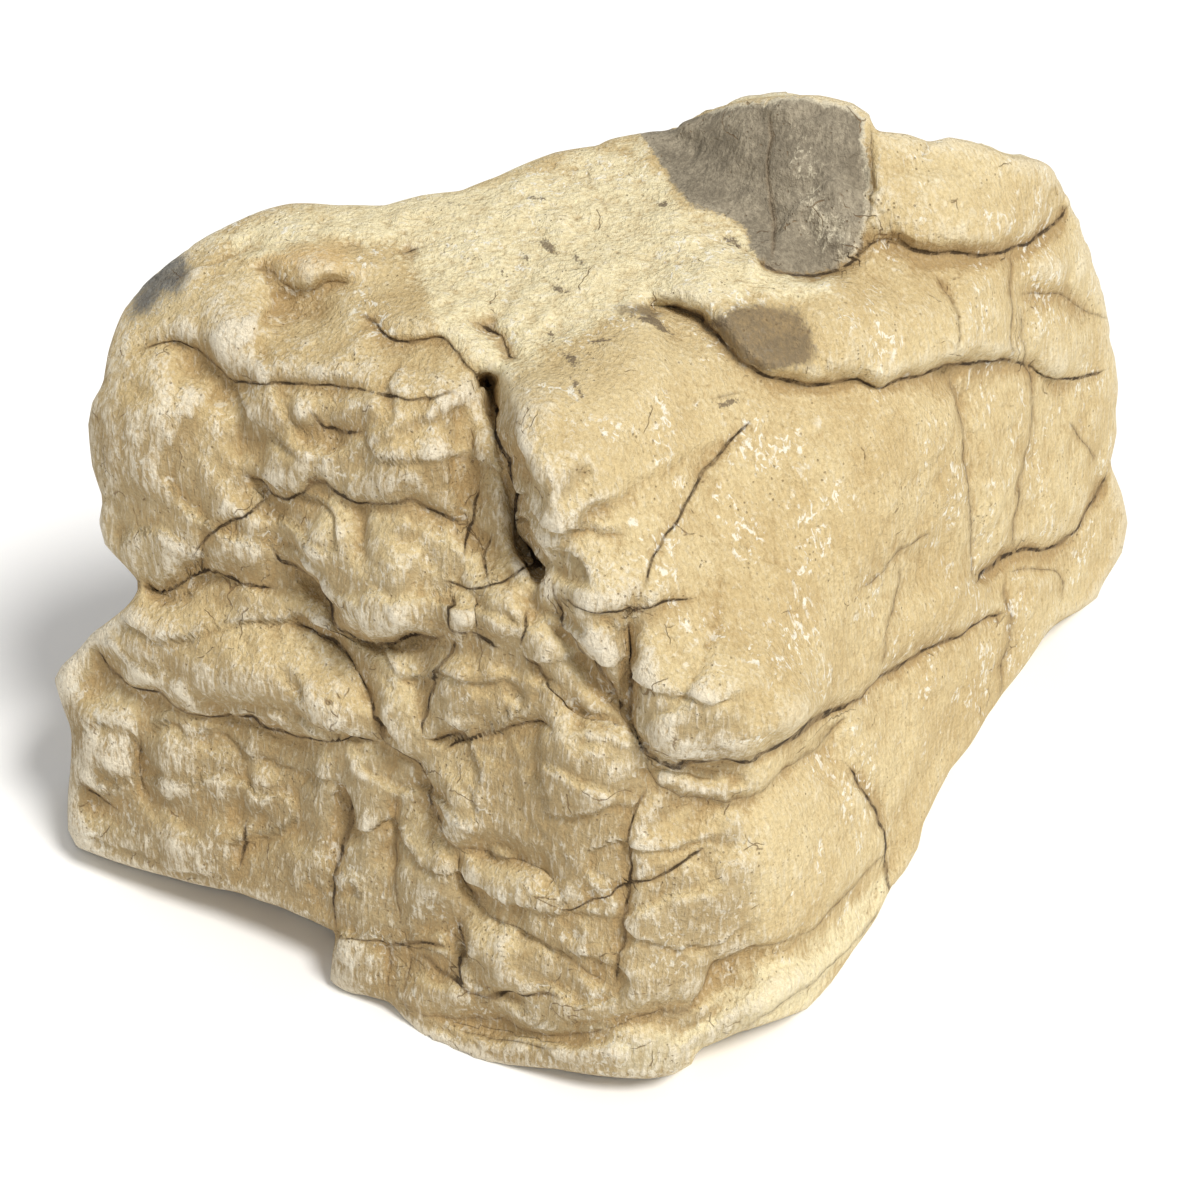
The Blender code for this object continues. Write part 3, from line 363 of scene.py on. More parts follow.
# Patches of another surface, as closed lines on the drawing.
GREY_PATCHES = [
    [(628, 122), (652, 150), (672, 182), (692, 208), (722, 214), (746, 226), (757, 256), (768, 270),
     (802, 273), (836, 272), (850, 258), (866, 235), (869, 170), (866, 116), (850, 106), (800, 97),
     (746, 100), (700, 109), (655, 116)],
]
SLATE_PATCHES = [
    [(128, 320), (134, 292), (150, 268), (164, 248), (182, 258), (192, 284), (182, 298), (166, 296),
     (152, 318)],
]
BROWN_PATCHES = [
    [(692, 309), (712, 316), (733, 307), (770, 303), (798, 312), (812, 334), (814, 360), (796, 374),
     (764, 375), (742, 358), (722, 342), (704, 328)],
    [(612, 308), (640, 306), (664, 318), (650, 326), (630, 318)],
]
RUST_PATCHES = [
    [(440, 200), (505, 186), (530, 232), (540, 300), (528, 350), (496, 376), (462, 352), (436, 300)],
    [(246, 250), (300, 236), (350, 240), (356, 270), (300, 278), (252, 268)],
]
SCRAPED_PATCHES = [
    [(786, 150), (800, 132), (816, 150), (824, 190), (852, 214), (858, 244), (838, 262), (806, 238),
     (800, 206), (790, 182)],
]
# Painted light: the strip along the foot is painted paler, as a face turned up to the light.
PAINTED_LIGHT_PATCHES = [
    [(606, 1044), (690, 1018), (744, 970), (800, 946), (856, 892), (892, 866), (884, 912), (852, 955),
     (806, 1010), (740, 1036), (700, 1052), (676, 1074), (620, 1076)],
]
DUSKY_PATCHES = [
    [(58, 690), (110, 690), (165, 705), (240, 724), (350, 748), (418, 770), (452, 850), (456, 940),
     (420, 1010), (330, 985), (330, 930), (165, 880), (58, 845)],
]
PATCHES = {"grey_in": GREY_PATCHES, "brown_in": BROWN_PATCHES, "rust_in": RUST_PATCHES,
           "scraped_in": SCRAPED_PATCHES, "slate_in": SLATE_PATCHES,
           "painted_light_in": PAINTED_LIGHT_PATCHES, "dusky_in": DUSKY_PATCHES}
CRUST = [(205, 235), (330, 208), (500, 180), (610, 145), (640, 150), (690, 215), (745, 230), (765, 272),
         (840, 278), (830, 296), (740, 300), (690, 308), (640, 306), (560, 345), (523, 360), (488, 380),
         (440, 335), (395, 250), (330, 240), (250, 262)]


def direction(azimuth, elevation):
    a, e = math.radians(azimuth), math.radians(elevation)
    return np.array([math.sin(a) * math.cos(e), -math.cos(a) * math.cos(e), math.sin(e)])


HEART = np.array([0.0, 0.0, HEART_HEIGHT])
TOWARDS_EYE = direction(0, SIGHT_ELEVATION)
SIGHT_RIGHT = np.array([1.0, 0.0, 0.0])
SIGHT_UP = np.cross(TOWARDS_EYE, SIGHT_RIGHT)
EYE = HEART + TOWARDS_EYE * SIGHT_DISTANCE

# The broken top: a crusted floor that ends at a grey cliff. Each plane is a point and a normal.
CRUST_FLOOR = ((-0.010, 0.0, 0.170), direction(-30, 80))
CLIFF = ((0.041, -0.002, 0.172), direction(-54, 24))
# Right of it the break turns to the front and comes down on a floor that falls to the right.
BREAK_FLOOR = ((0.036, -0.006, 0.1715), direction(60, 72))
BREAK_FRONT = ((0.047, 0.0108, 0.1825), direction(-5, 36))


def ramp(value, start, end):
    """Rises smoothly from 0 to 1 as the value goes from start to end."""
    share = np.clip((value - start) / (end - start), 0.0, 1.0)
    return share * share * (3.0 - 2.0 * share)


def on_drawing(points):
    """Where points appear on the drawing, as (u, v)."""
    from_eye = points - EYE
    depth = -from_eye @ TOWARDS_EYE
    right = from_eye @ SIGHT_RIGHT / depth
    up = from_eye @ SIGHT_UP / depth
    return DRAWING_MIDDLE + UNITS_PER_SLOPE * np.stack([right, -up], axis=1)


def past_outline(points):
    """How far points lie outside the outline on the drawing, in units."""
    corners = np.array(OUTLINE, float) - DRAWING_MIDDLE
    angles = np.arctan2(corners[:, 1], corners[:, 0])
    order = np.argsort(angles)
    reach = np.hypot(corners[:, 0], corners[:, 1])
    seen = on_drawing(points) - DRAWING_MIDDLE
    turn = np.arctan2(seen[:, 1], seen[:, 0])
    edge = np.interp(turn, angles[order], reach[order], period=2 * math.pi)
    return np.hypot(seen[:, 0], seen[:, 1]) - edge


def past_plane(points, plane):
    place, normal = plane
    return (points - np.array(place)) @ normal


def softly_most(values, rounding):
    """The greatest of several values, rounded over where two of them meet."""
    top = np.max(values, axis=0)
    return top + rounding * np.log(sum(np.exp((value - top) / rounding) for value in values))


def outside_stone(points):
    """How far points lie outside the worn block, in metres; negative inside it."""
    walls = []
    for azimuth, elevation, distance in PLANES.values():
        walls.append((points - HEART) @ direction(azimuth, elevation) - distance)
    for floor, wall in ((CRUST_FLOOR, CLIFF), (BREAK_FLOOR, BREAK_FRONT)):
        walls.append(-softly_most([-past_plane(points, floor), -past_plane(points, wall)], NOTCH_ROUNDING))
    block = softly_most(walls, EDGE_ROUNDING)
    return softly_most([block, past_outline(points) / UNITS_PER_MM * MM], RIM_ROUNDING)


def first_surface(ways):
    """Goes out from the core along each way to the place where the stone ends."""
    beyond = np.full(len(ways), FURTHEST)
    for step in range(SEARCH_STEPS, 0, -1):
        reach = FURTHEST * step / SEARCH_STEPS
        out = outside_stone(CORE + ways * reach) > 0
        beyond[out] = reach
    inside = beyond - FURTHEST / SEARCH_STEPS
    for _ in range(SEARCH_HALVINGS):
        middle = (inside + beyond) / 2
        out = outside_stone(CORE + ways * middle[:, None]) > 0
        beyond = np.where(out, middle, beyond)
        inside = np.where(out, inside, middle)
    return CORE + ways * inside[:, None]


def ball_mesh():
    """A cube cut into a fine grid; its corners give the ways out from the core."""
    ball = bmesh.new()
    bmesh.ops.create_cube(ball, size=2.0)
    bmesh.ops.subdivide_edges(ball, edges=ball.edges[:], cuts=CUBE_CUTS - 1, use_grid_fill=True)
    mesh = bpy.data.meshes.new("stone")
    ball.to_mesh(mesh)
    ball.free()
    return mesh


def per_vertex(mesh, name):
    found = np.empty(len(mesh.vertices) * 3, np.float32)
    mesh.vertices.foreach_get(name, found)
    return found.reshape(-1, 3).astype(float)


def set_points(mesh, points):
    mesh.vertices.foreach_set("co", points.astype(np.float32).ravel())
    mesh.update()


def ways_out(mesh):
    """Directions from the core, crowded towards the side that the sight shows."""
    ways = np.tan(per_vertex(mesh, "co") * math.pi / 4)
    ways /= np.linalg.norm(ways, axis=1, keepdims=True)
    ways += CROWDING
    return ways / np.linalg.norm(ways, axis=1, keepdims=True)


def rest_on_bed(points):
    """Brings what hangs below the bed up to it, towards the core."""
    below = points[:, 2] < 0
    shrink = CORE[2] / (CORE[2] - points[below, 2])
    points[below] = CORE + (points[below] - CORE) * shrink[:, None]
    points[points[:, 2] < BED_SNAP, 2] = 0.0
    return points


def smooth_curve(corners):
    """A line through the corners, bent smoothly and cut into short pieces."""
    corners = np.array(corners, float)
    padded = np.concatenate([corners[:1] * 2 - corners[1:2], corners, corners[-1:] * 2 - corners[-2:-1]])
    found = []
    for before, start, end, after in zip(padded, padded[1:], padded[2:], padded[3:]):
        pieces = max(1, int(np.hypot(*(end - start)) / CURVE_STEP))
        for piece in range(pieces):
            t = piece / pieces
            bend = (2 * before - 5 * start + 4 * end - after) * t * t
            bend += (3 * start - before - 3 * end + after) * t ** 3
            found.append(start + ((end - before) * t + bend) / 2)
    found.append(corners[-1])
    return np.array(found)


def along_curve(seen, curve):
    """Distance of points from a curve, signed by side, and how far the nearest place is from its ends."""
    nearest = np.full(len(seen), np.inf)
    signed = np.zeros(len(seen))
    place = np.zeros(len(seen))
    travelled = 0.0
    for start, end in zip(curve, curve[1:]):
        run = end - start
        length = np.hypot(*run)
        offset = seen - start
        t = np.clip(offset @ run / length ** 2, 0.0, 1.0)
        distance = np.hypot(*(offset - t[:, None] * run).T)
        closer = distance < nearest
        nearest[closer] = distance[closer]
        side = run[0] * offset[:, 1] - run[1] * offset[:, 0]
        signed[closer] = (np.sign(side) * distance)[closer]
        place[closer] = travelled + t[closer] * length
        travelled += length
    return signed, np.minimum(place, travelled - place)


def within(seen, corners):
    """How far inside a closed line points lie, in millimetres; negative outside it."""
    corners = np.array(corners, float)
    nearest = np.full(len(seen), np.inf)
    inside = np.zeros(len(seen), bool)
    for start, end in zip(corners, np.roll(corners, -1, axis=0)):
        run = end - start
        offset = seen - start
        t = np.clip(offset @ run / (run @ run), 0.0, 1.0)
        nearest = np.minimum(nearest, np.hypot(*(offset - t[:, None] * run).T))
        crosses = (start[1] > seen[:, 1]) != (end[1] > seen[:, 1])
        rise = run[1] or 1.0
        inside ^= crosses & (seen[:, 0] < start[0] + (seen[:, 1] - start[1]) / rise * run[0])
    return np.where(inside, nearest, -nearest) / UNITS_PER_MM


def proud_sign(side, curve):
    """Which sign of the side marks the part that stands proud."""
    across, down = curve[-1] - curve[0]
    return {
        "upper": -1.0 if across > 0 else 1.0,
        "lower": 1.0 if across > 0 else -1.0,
        "left": 1.0 if down > 0 else -1.0,
        "right": -1.0 if down > 0 else 1.0,
    }[side]


def stained(gap):
    """The share of soil that lies so many millimetres from a crack."""
    return np.exp(-(gap / STAIN_WIDTH) ** STAIN_POWER)


class CrackField:
    """What the cracks do at each point: how deep they cut, and where their dark lines run."""

    def __init__(self, seen):
        self.groove = np.zeros(len(seen))
        self.ledge = np.zeros(len(seen))
        self.line = np.full(len(seen), FAR_OFF)
        self.dark = np.zeros(len(seen))
        self.stain = np.zeros(len(seen))
        flat = np.pad(seen, ((0, 0), (0, 1))) / UNITS_PER_MM * MM
        self.seen = seen.copy()
        for index, (size, reach) in enumerate(CRACK_WANDER):
            for axis in range(2):
                self.seen[:, axis] += reach * noise_at(flat, size, WANDER_SEED + 2 * index + axis)
        uneven = UNEVEN_MEAN + UNEVEN_SPREAD * noise_at(flat, UNEVEN_SIZE, UNEVEN_SEED)
        self.uneven = np.clip(uneven, *UNEVEN_LIMITS)
        for crack in CRACKS:
            self.cut(*crack)

    def cut(self, opening, side, step, corners):
        slit_depth, slit_width, shoulder_depth, shoulder_width, rounding, fade = OPENINGS[opening]
        curve = smooth_curve(corners)
        reach = CRACK_REACH * UNITS_PER_MM
        low, high = curve.min(axis=0) - reach, curve.max(axis=0) + reach
        near = np.all((self.seen > low) & (self.seen < high), axis=1)
        signed, from_end = along_curve(self.seen[near], curve)
        signed = signed / UNITS_PER_MM * proud_sign(side, curve)
        gap = np.abs(signed)
        whole = ramp(from_end, 0.0, END_TAPER)
        taper = END_SHARE + (1.0 - END_SHARE) * whole
        slit = slit_depth * np.exp(-(gap / slit_width) ** 2)
        wear = np.where(signed > 0, SHARP_SIDE, WORN_SIDE)
        shoulder = shoulder_depth * np.exp(-gap / shoulder_width * wear)
        cut = (slit + shoulder) * taper * self.uneven[near]
        self.groove[near] = np.maximum(self.groove[near], cut)
        felt = np.exp(-gap / fade) * (1.0 - np.exp(-gap / rounding))
        swell = np.where(signed > 0, -STEP_PROUD, STEP_LOW) * step * felt
        self.ledge[near] += swell * ramp(from_end, 0.0, STEP_TAPER)
        stain = DARKNESS[opening] * taper * stained(gap) * self.uneven[near]
        self.stain[near] = np.maximum(self.stain[near], stain)
        closer = gap < np.abs(self.line[near])
        spots = np.flatnonzero(near)[closer]
        self.line[spots] = signed[closer]
        dark = DARKNESS[opening] * whole * ramp(gap, *LINE_REACH)
        self.dark[spots] = dark[closer]


def over_oval(seen, u, v, length, width, tilt):
    """How far points lie from an oval's middle on the drawing, as a share of the way to its edge."""
    turn = math.radians(tilt)
    offset = seen - (u, v)
    along = (offset[:, 0] * math.cos(turn) + offset[:, 1] * math.sin(turn)) / length
    across = (offset[:, 1] * math.cos(turn) - offset[:, 0] * math.sin(turn)) / width
    return np.hypot(along, across)


def swelling(seen):
    """How far the listed lumps stand out, in millimetres; recesses are negative."""
    total = np.zeros(len(seen))
    for *oval, height in SWELLS:
        total += height * np.exp(-over_oval(seen, *oval) ** SWELL_POWER)
    return total


def flecked(seen):
    """How far inside the nearest fleck points lie, in millimetres; negative outside it."""
    inside = np.full(len(seen), -FAR_OFF)
    for oval in FLECKS:
        width = oval[3]
        inside = np.maximum(inside, (1.0 - over_oval(seen, *oval)) * width / UNITS_PER_MM)
    return inside


def noise_at(points, size, seed, stretch=(1.0, 1.0, 1.0)):
    """Smooth noise between -1 and 1 whose lumps are about the given size in millimetres."""
    places = points / (np.array(stretch) * size * MM) + seed * SEED_STEP
    return np.array([noise.noise(Vector(place)) for place in places])


def facing_sight(points, normals):
    sight = points - EYE
    sight /= np.linalg.norm(sight, axis=1, keepdims=True)
    return sight, -np.sum(sight * normals, axis=1)


def chipped(points, size, seed):
    """Flat chips, each tilted its own way and worn where it meets the next; within about -1 to 1."""
    places = points / (np.array(CHIP_STRETCH) * size * MM) + seed * SEED_STEP
    heights = np.empty(len(places))
    for index, place in enumerate(places):
        place = Vector(place)
        distances, middles = noise.voronoi(place)
        tilt = noise.cell_vector(middles[0] * CHIP_HASH) - CHIP_LEVEL
        worn = min((distances[1] - distances[0]) / CHIP_WEAR, 1.0)
        heights[index] = (place - middles[0]).dot(tilt) * worn
    return heights * CHIP_SCALE


def bedding(points):
    """Worn beds, from 0 to 1: the stone rises slowly and then drops at once, along wandering lines."""
    place = noise_at(points, BEDDING_SIZE, BEDDING_SEED, BEDDING_STRETCH) * BEDDING_COUNT
    place += noise_at(points, BEDDING_FINE_SIZE, BEDDING_SEED + 1) * BEDDING_RAGGED
    rise = place - np.floor(place)
    return rise - ramp(rise, 1.0 - BEDDING_DROP, 1.0)


def edge_ends(mesh):
    edges = np.empty(len(mesh.edges) * 2, np.int32)
    mesh.edges.foreach_get("vertices", edges)
    return edges.reshape(-1, 2).T


def steepness(mesh, values):
    """How fast values change along the surface, per metre."""
    starts, ends = edge_ends(mesh)
    points = per_vertex(mesh, "co")
    slope = np.abs(values[starts] - values[ends]) / np.linalg.norm(points[starts] - points[ends], axis=1)
    steepest = np.zeros(len(values))
    np.maximum.at(steepest, starts, slope)
    np.maximum.at(steepest, ends, slope)
    return averaged(mesh, steepest, STEEPNESS_ROUNDS)


class JointField:
    """The joints of the far sides: how deep they cut, how their blocks are set back, where they run."""

    def __init__(self, mesh):
        points = per_vertex(mesh, "co")
        self.depth = np.zeros(len(points))
        self.line = np.full(len(points), FAR_OFF)
        self.dark = np.zeros(len(points))
        self.stain = np.zeros(len(points))
        kinds = len(JOINT_SETS)
        cells = np.zeros((len(points), kinds))
        for index, (azimuth, elevation, spacing, wander) in enumerate(JOINT_SETS):
            seed = JOINT_SEED + index
            drift = noise_at(points, JOINT_DRIFT_SIZES[0], seed) * wander
            drift += noise_at(points, JOINT_DRIFT_SIZES[1], seed + kinds) * wander * JOINT_FINE_SHARE
            place = (points @ direction(azimuth, elevation) / MM + drift) / spacing
            cells[:, index] = np.floor(place)
            signed = (place - np.round(place)) * spacing
            gap = np.abs(signed)
            opened = ramp(noise_at(points, JOINT_OPEN_SIZE, seed + 2 * kinds), *JOINT_OPEN_LEVELS)
            opened *= ramp(steepness(mesh, place * spacing * MM), *JOINT_STEEPNESS)
            cut = np.exp(-(gap / JOINT_WIDTH) ** 2) + JOINT_SHOULDER_SHARE * np.exp(-gap / JOINT_SHOULDER)
            self.depth = np.maximum(self.depth, JOINT_DEPTH * opened * cut)
            dark = JOINT_DARK * opened
            self.stain = np.maximum(self.stain, dark * stained(gap))
            closer = gap < np.abs(self.line)
            self.line[closer] = signed[closer]
            self.dark[closer] = (dark * ramp(gap, *LINE_REACH))[closer]
        hashed = np.sin(cells @ BLOCK_HASH) * BLOCK_HASH_SCALE
        self.depth += BLOCK_OFFSET * (hashed - np.floor(hashed))


def averaged(mesh, values, rounds):
    """Values evened out over the mesh: each goes half-way to its neighbours' mean, again and again."""
    starts, ends = edge_ends(mesh)
    count = len(values)
    degree = np.bincount(starts, minlength=count) + np.bincount(ends, minlength=count)
    for _ in range(rounds):
        total = np.bincount(starts, values[ends], count) + np.bincount(ends, values[starts], count)
        values = (values + total / degree) / 2
    return values


def hollowness(mesh, rounds):
    """How far each point lies below the mean surface round it, in millimetres."""
    points = per_vertex(mesh, "co")
    mean = np.stack([averaged(mesh, axis, rounds) for axis in points.T], axis=1)
    return np.sum((mean - points) * per_vertex(mesh, "normal"), axis=1) / MM


def fit_into(points, box):
    """Moves the stone over the solid's middle and keeps it inside the solid's box."""
    low, high = np.array(box[0]), np.array(box[1])
    middle = (points.min(axis=0) + points.max(axis=0)) / 2
    shift = (low + high) / 2 - middle
    shift[2] = 0.0
    return np.clip(points + shift, low + [BOX_INSET, BOX_INSET, 0.0], high - BOX_INSET), shift


class Stone:
    """The stone's surface in the making, with what its material has to know about each point."""

    def __init__(self):
        self.mesh = ball_mesh()
        set_points(self.mesh, first_surface(ways_out(self.mesh)))
        self.points = per_vertex(self.mesh, "co")
        normals = per_vertex(self.mesh, "normal")
        self.sight, self.facing = facing_sight(self.points, normals)
        self.in_sight = self.facing > IN_SIGHT
        self.hidden = ramp(self.facing, *HIDDEN)
        self.to_left = ramp(normals @ direction(ROUGH_AZIMUTH, 0), *ROUGH_FACING)
        self.cracks = CrackField(on_drawing(self.points))
        self.patches = {name: self.patch(outlines) for name, outlines in PATCHES.items()}
        top = (normals[:, 2] - CRUSTED_LEVEL) * CRUSTED_SCALE
        self.crust = np.where(self.in_sight, within(self.cracks.seen, CRUST), top)

    def patch(self, outlines):
        inside = np.max([within(self.cracks.seen, outline) for outline in outlines], axis=0)
        return np.where(self.in_sight, inside, -FAR_OFF)

    def move(self, offsets):
        """Moves the points, by millimetres."""
        self.points = self.points + offsets * MM
        set_points(self.mesh, self.points)

    def carve_front(self):
        """Cuts the cracks and lumps into the side that the sight shows, along the lines of sight."""
        shown = ramp(self.facing, *SHOWN) * ramp(self.points[:, 2] / MM, 0.0, BED_CALM)
        rim = ramp(-past_outline(self.points), 0.0, RIM_FADE)
        depth = self.cracks.groove + self.cracks.ledge - swelling(self.cracks.seen)
        depth *= shown * (RIM_SHARE + (1.0 - RIM_SHARE) * rim) / np.maximum(self.facing, LEAST_FACING)
        depth = averaged(self.mesh, depth, EVENING_ROUNDS)
        self.move(self.sight * depth[:, None])

    def wear(self):
        """Cuts joints into the sides that the sight doesn't show, and covers the stone with lumps."""
        points, normals = self.points, per_vertex(self.mesh, "normal")
        self.joints = JointField(self.mesh)
        calm = np.maximum(ramp(np.abs(past_outline(points)), 0.0, RIM_CALM), self.hidden)
        roughest = np.maximum(self.to_left, FAR_SIDE_SHARE * self.hidden)
        rough = calm * (SMOOTH_FACE_SHARE + (1.0 - SMOOTH_FACE_SHARE) * roughest)
        lift = -self.joints.depth * self.hidden
        for index, (size, height) in enumerate(LUMPS):
            lift += noise_at(points, size, LUMP_SEED + index) * height * calm
        lift += (bedding(points) - BEDDING_LEVEL) * BEDDING_HEIGHT * rough
        for index, (size, height) in enumerate(CREASED_LUMPS):
            creased = np.abs(noise_at(points, size, CREASE_SEED + index)) - CREASE_LEVEL
            lift += creased * height * rough
        for index, (size, height) in enumerate(CHIPS):
            lift += chipped(points, size, CHIP_SEED + index) * height * rough
        lift += self.crusted() * calm
        ripples = noise_at(points, RIPPLE_SIZE, RIPPLE_SEED, RIPPLE_STRETCH)
        lift += ripples * RIPPLE_HEIGHT * self.to_left * calm
        self.move(normals * lift[:, None])

    def crusted(self):
        """How high the broken crust's lumps stand, in millimetres."""
        broad, fine = CRUST_SIZES
        lumps = np.abs(noise_at(self.points, broad, CRUST_SEED))
        lumps += CRUST_FINE_SHARE * np.abs(noise_at(self.points, fine, CRUST_SEED + 1))
        share = ramp(self.crust, -CRUST_EDGE, CRUST_EDGE)
        share *= ramp(self.patches["grey_in"], GREY_EDGE, -GREY_EDGE)
        return (lumps - CRUST_LEVEL) * CRUST_HEIGHT * share

    def note_for_paint(self):
        """Keeps what the material reads: the cracks, the patches, the sides and the hollows."""
        mesh, cracks, joints = self.mesh, self.cracks, self.joints
        turned_up = ramp(per_vertex(mesh, "normal")[:, 2], *TURNED_UP)
        found = {
            "crack_line": np.where(self.in_sight, cracks.line, joints.line),
            "crack_dark": np.where(self.in_sight, cracks.dark, joints.dark * self.hidden),
            "stain": np.where(self.in_sight, cracks.stain, joints.stain * self.hidden),
            **self.patches,
            "crust_in": self.crust,
            "fleck_in": np.where(self.in_sight, flecked(cracks.seen), -FAR_OFF),
            "to_left": self.to_left,
            # Painted shade of the left face, less where it turns up.
            "shaded": self.to_left * (1.0 - turned_up),
            "hollow_fine": hollowness(mesh, FINE_ROUNDS),
            "hollow_broad": averaged(mesh, hollowness(mesh, BROAD_ROUNDS), BLEND_ROUNDS),
        }
        for name, values in found.items():
            layer = mesh.attributes.new(name, "FLOAT", "POINT")
            layer.data.foreach_set("value", values.astype(np.float32))


def in_scene(name, data):
    thing = bpy.data.objects.new(name, data)
    bpy.context.scene.collection.objects.link(thing)
    return thing


def make_stone():
    stone = Stone()
    stone.carve_front()
    stone.wear()
    points, shift = fit_into(rest_on_bed(stone.points), solid_box)
    set_points(stone.mesh, points)
    stone.note_for_paint()
    stone.mesh.shade_smooth()
    return in_scene("stone", stone.mesh), Vector(shift)


class Paint:
    """Builds one material's nodes, so that a texture reads as a formula."""

    def __init__(self, name):
        self.material = bpy.data.materials.new(name)
        self.material.use_nodes = True
        self.tree = self.material.node_tree
        self.surface = self.tree.nodes["Principled BSDF"]
        self.place = self.add("ShaderNodeTexCoord").outputs["Object"]

    def add(self, kind, inputs=None, **settings):
        node = self.tree.nodes.new(kind)
        for name, value in settings.items():
            setattr(node, name, value)
        for name, value in (inputs or {}).items():
            self.connect(value, node.inputs[name])
        return node

    def connect(self, value, socket):
        if isinstance(value, bpy.types.NodeSocket):
            self.tree.links.new(value, socket)
        else:
            socket.default_value = value

    def attribute(self, name):
        return self.add("ShaderNodeAttribute", attribute_name=name).outputs["Fac"]

    def math(self, operation, *values):
        return self.add("ShaderNodeMath", dict(enumerate(values)), operation=operation).outputs[0]

    def ramp(self, value, start, end, low=0.0, high=1.0):
        """Maps start..end smoothly to low..high and holds it beyond."""
        inputs = {"Value": value, "From Min": start, "From Max": end, "To Min": low, "To Max": high}
        return self.add("ShaderNodeMapRange", inputs, interpolation_type="SMOOTHSTEP").outputs["Result"]

    def stretched(self, stretch, turn=(0.0, 0.0, 0.0)):
        inputs = {"Vector": self.place, "Scale": stretch, "Rotation": turn}
        return self.add("ShaderNodeMapping", inputs).outputs["Vector"]

    def noise(self, size, detail=3.0, rough=0.55, warp=0.0, place=None):
        """Noise from 0 to 1 whose lumps are about the given size in millimetres."""
        inputs = {"Vector": place or self.place, "Scale": 1.0 / (size * MM), "Detail": detail,
                  "Roughness": rough, "Distortion": warp}
        return self.add("ShaderNodeTexNoise", inputs).outputs["Fac"]

    def mix(self, factor, below, above, blend="MIX"):
        node = self.add("ShaderNodeMix", data_type="RGBA", blend_type=blend)
        self.connect(factor, node.inputs["Factor"])
        for value, socket in ((below, node.inputs[6]), (above, node.inputs[7])):
            self.connect(value if isinstance(value, bpy.types.NodeSocket) else (*value, 1.0), socket)
        return node.outputs[2]


# The stone's colours.
TAN = (0.625, 0.480, 0.250)
CREAM = (0.735, 0.600, 0.345)
PALE = (0.86, 0.775, 0.575)
LEFT_PALE = (0.85, 0.775, 0.620)
SCUFF = (0.92, 0.88, 0.75)
BROWN = (0.435, 0.295, 0.132)
RUST = (0.700, 0.465, 0.195)
SOIL = (0.230, 0.140, 0.062)
# Painted shade: the dark thread inside the cracks and joints.
CRACK_BLACK = (0.032, 0.018, 0.008)
# Painted shade for the left face, a little greyer as well; laid on less where the face turns up.
LEFT_SHADE_AND_GREY = (0.69, 0.665, 0.655)
DUSKY_TINT = (0.84, 0.83, 0.82)
GRIT_DARK = (0.88, 0.86, 0.82)
GRIT_LIGHT = (1.06, 1.06, 1.06)
CRUST_CREAM = (0.90, 0.80, 0.520)
GREY_BREAK = (0.230, 0.195, 0.140)
GREY_LIGHT = (0.430, 0.370, 0.270)
BROWN_BREAK = (0.200, 0.150, 0.090)
SLATE = (0.110, 0.115, 0.120)
# Brown flecks, partly painted shade of small pits.
FLECK_BROWN = (0.170, 0.125, 0.080)
FLOOR_SHADES = (0.93, 0.93, 0.93), (0.95, 0.95, 0.95)


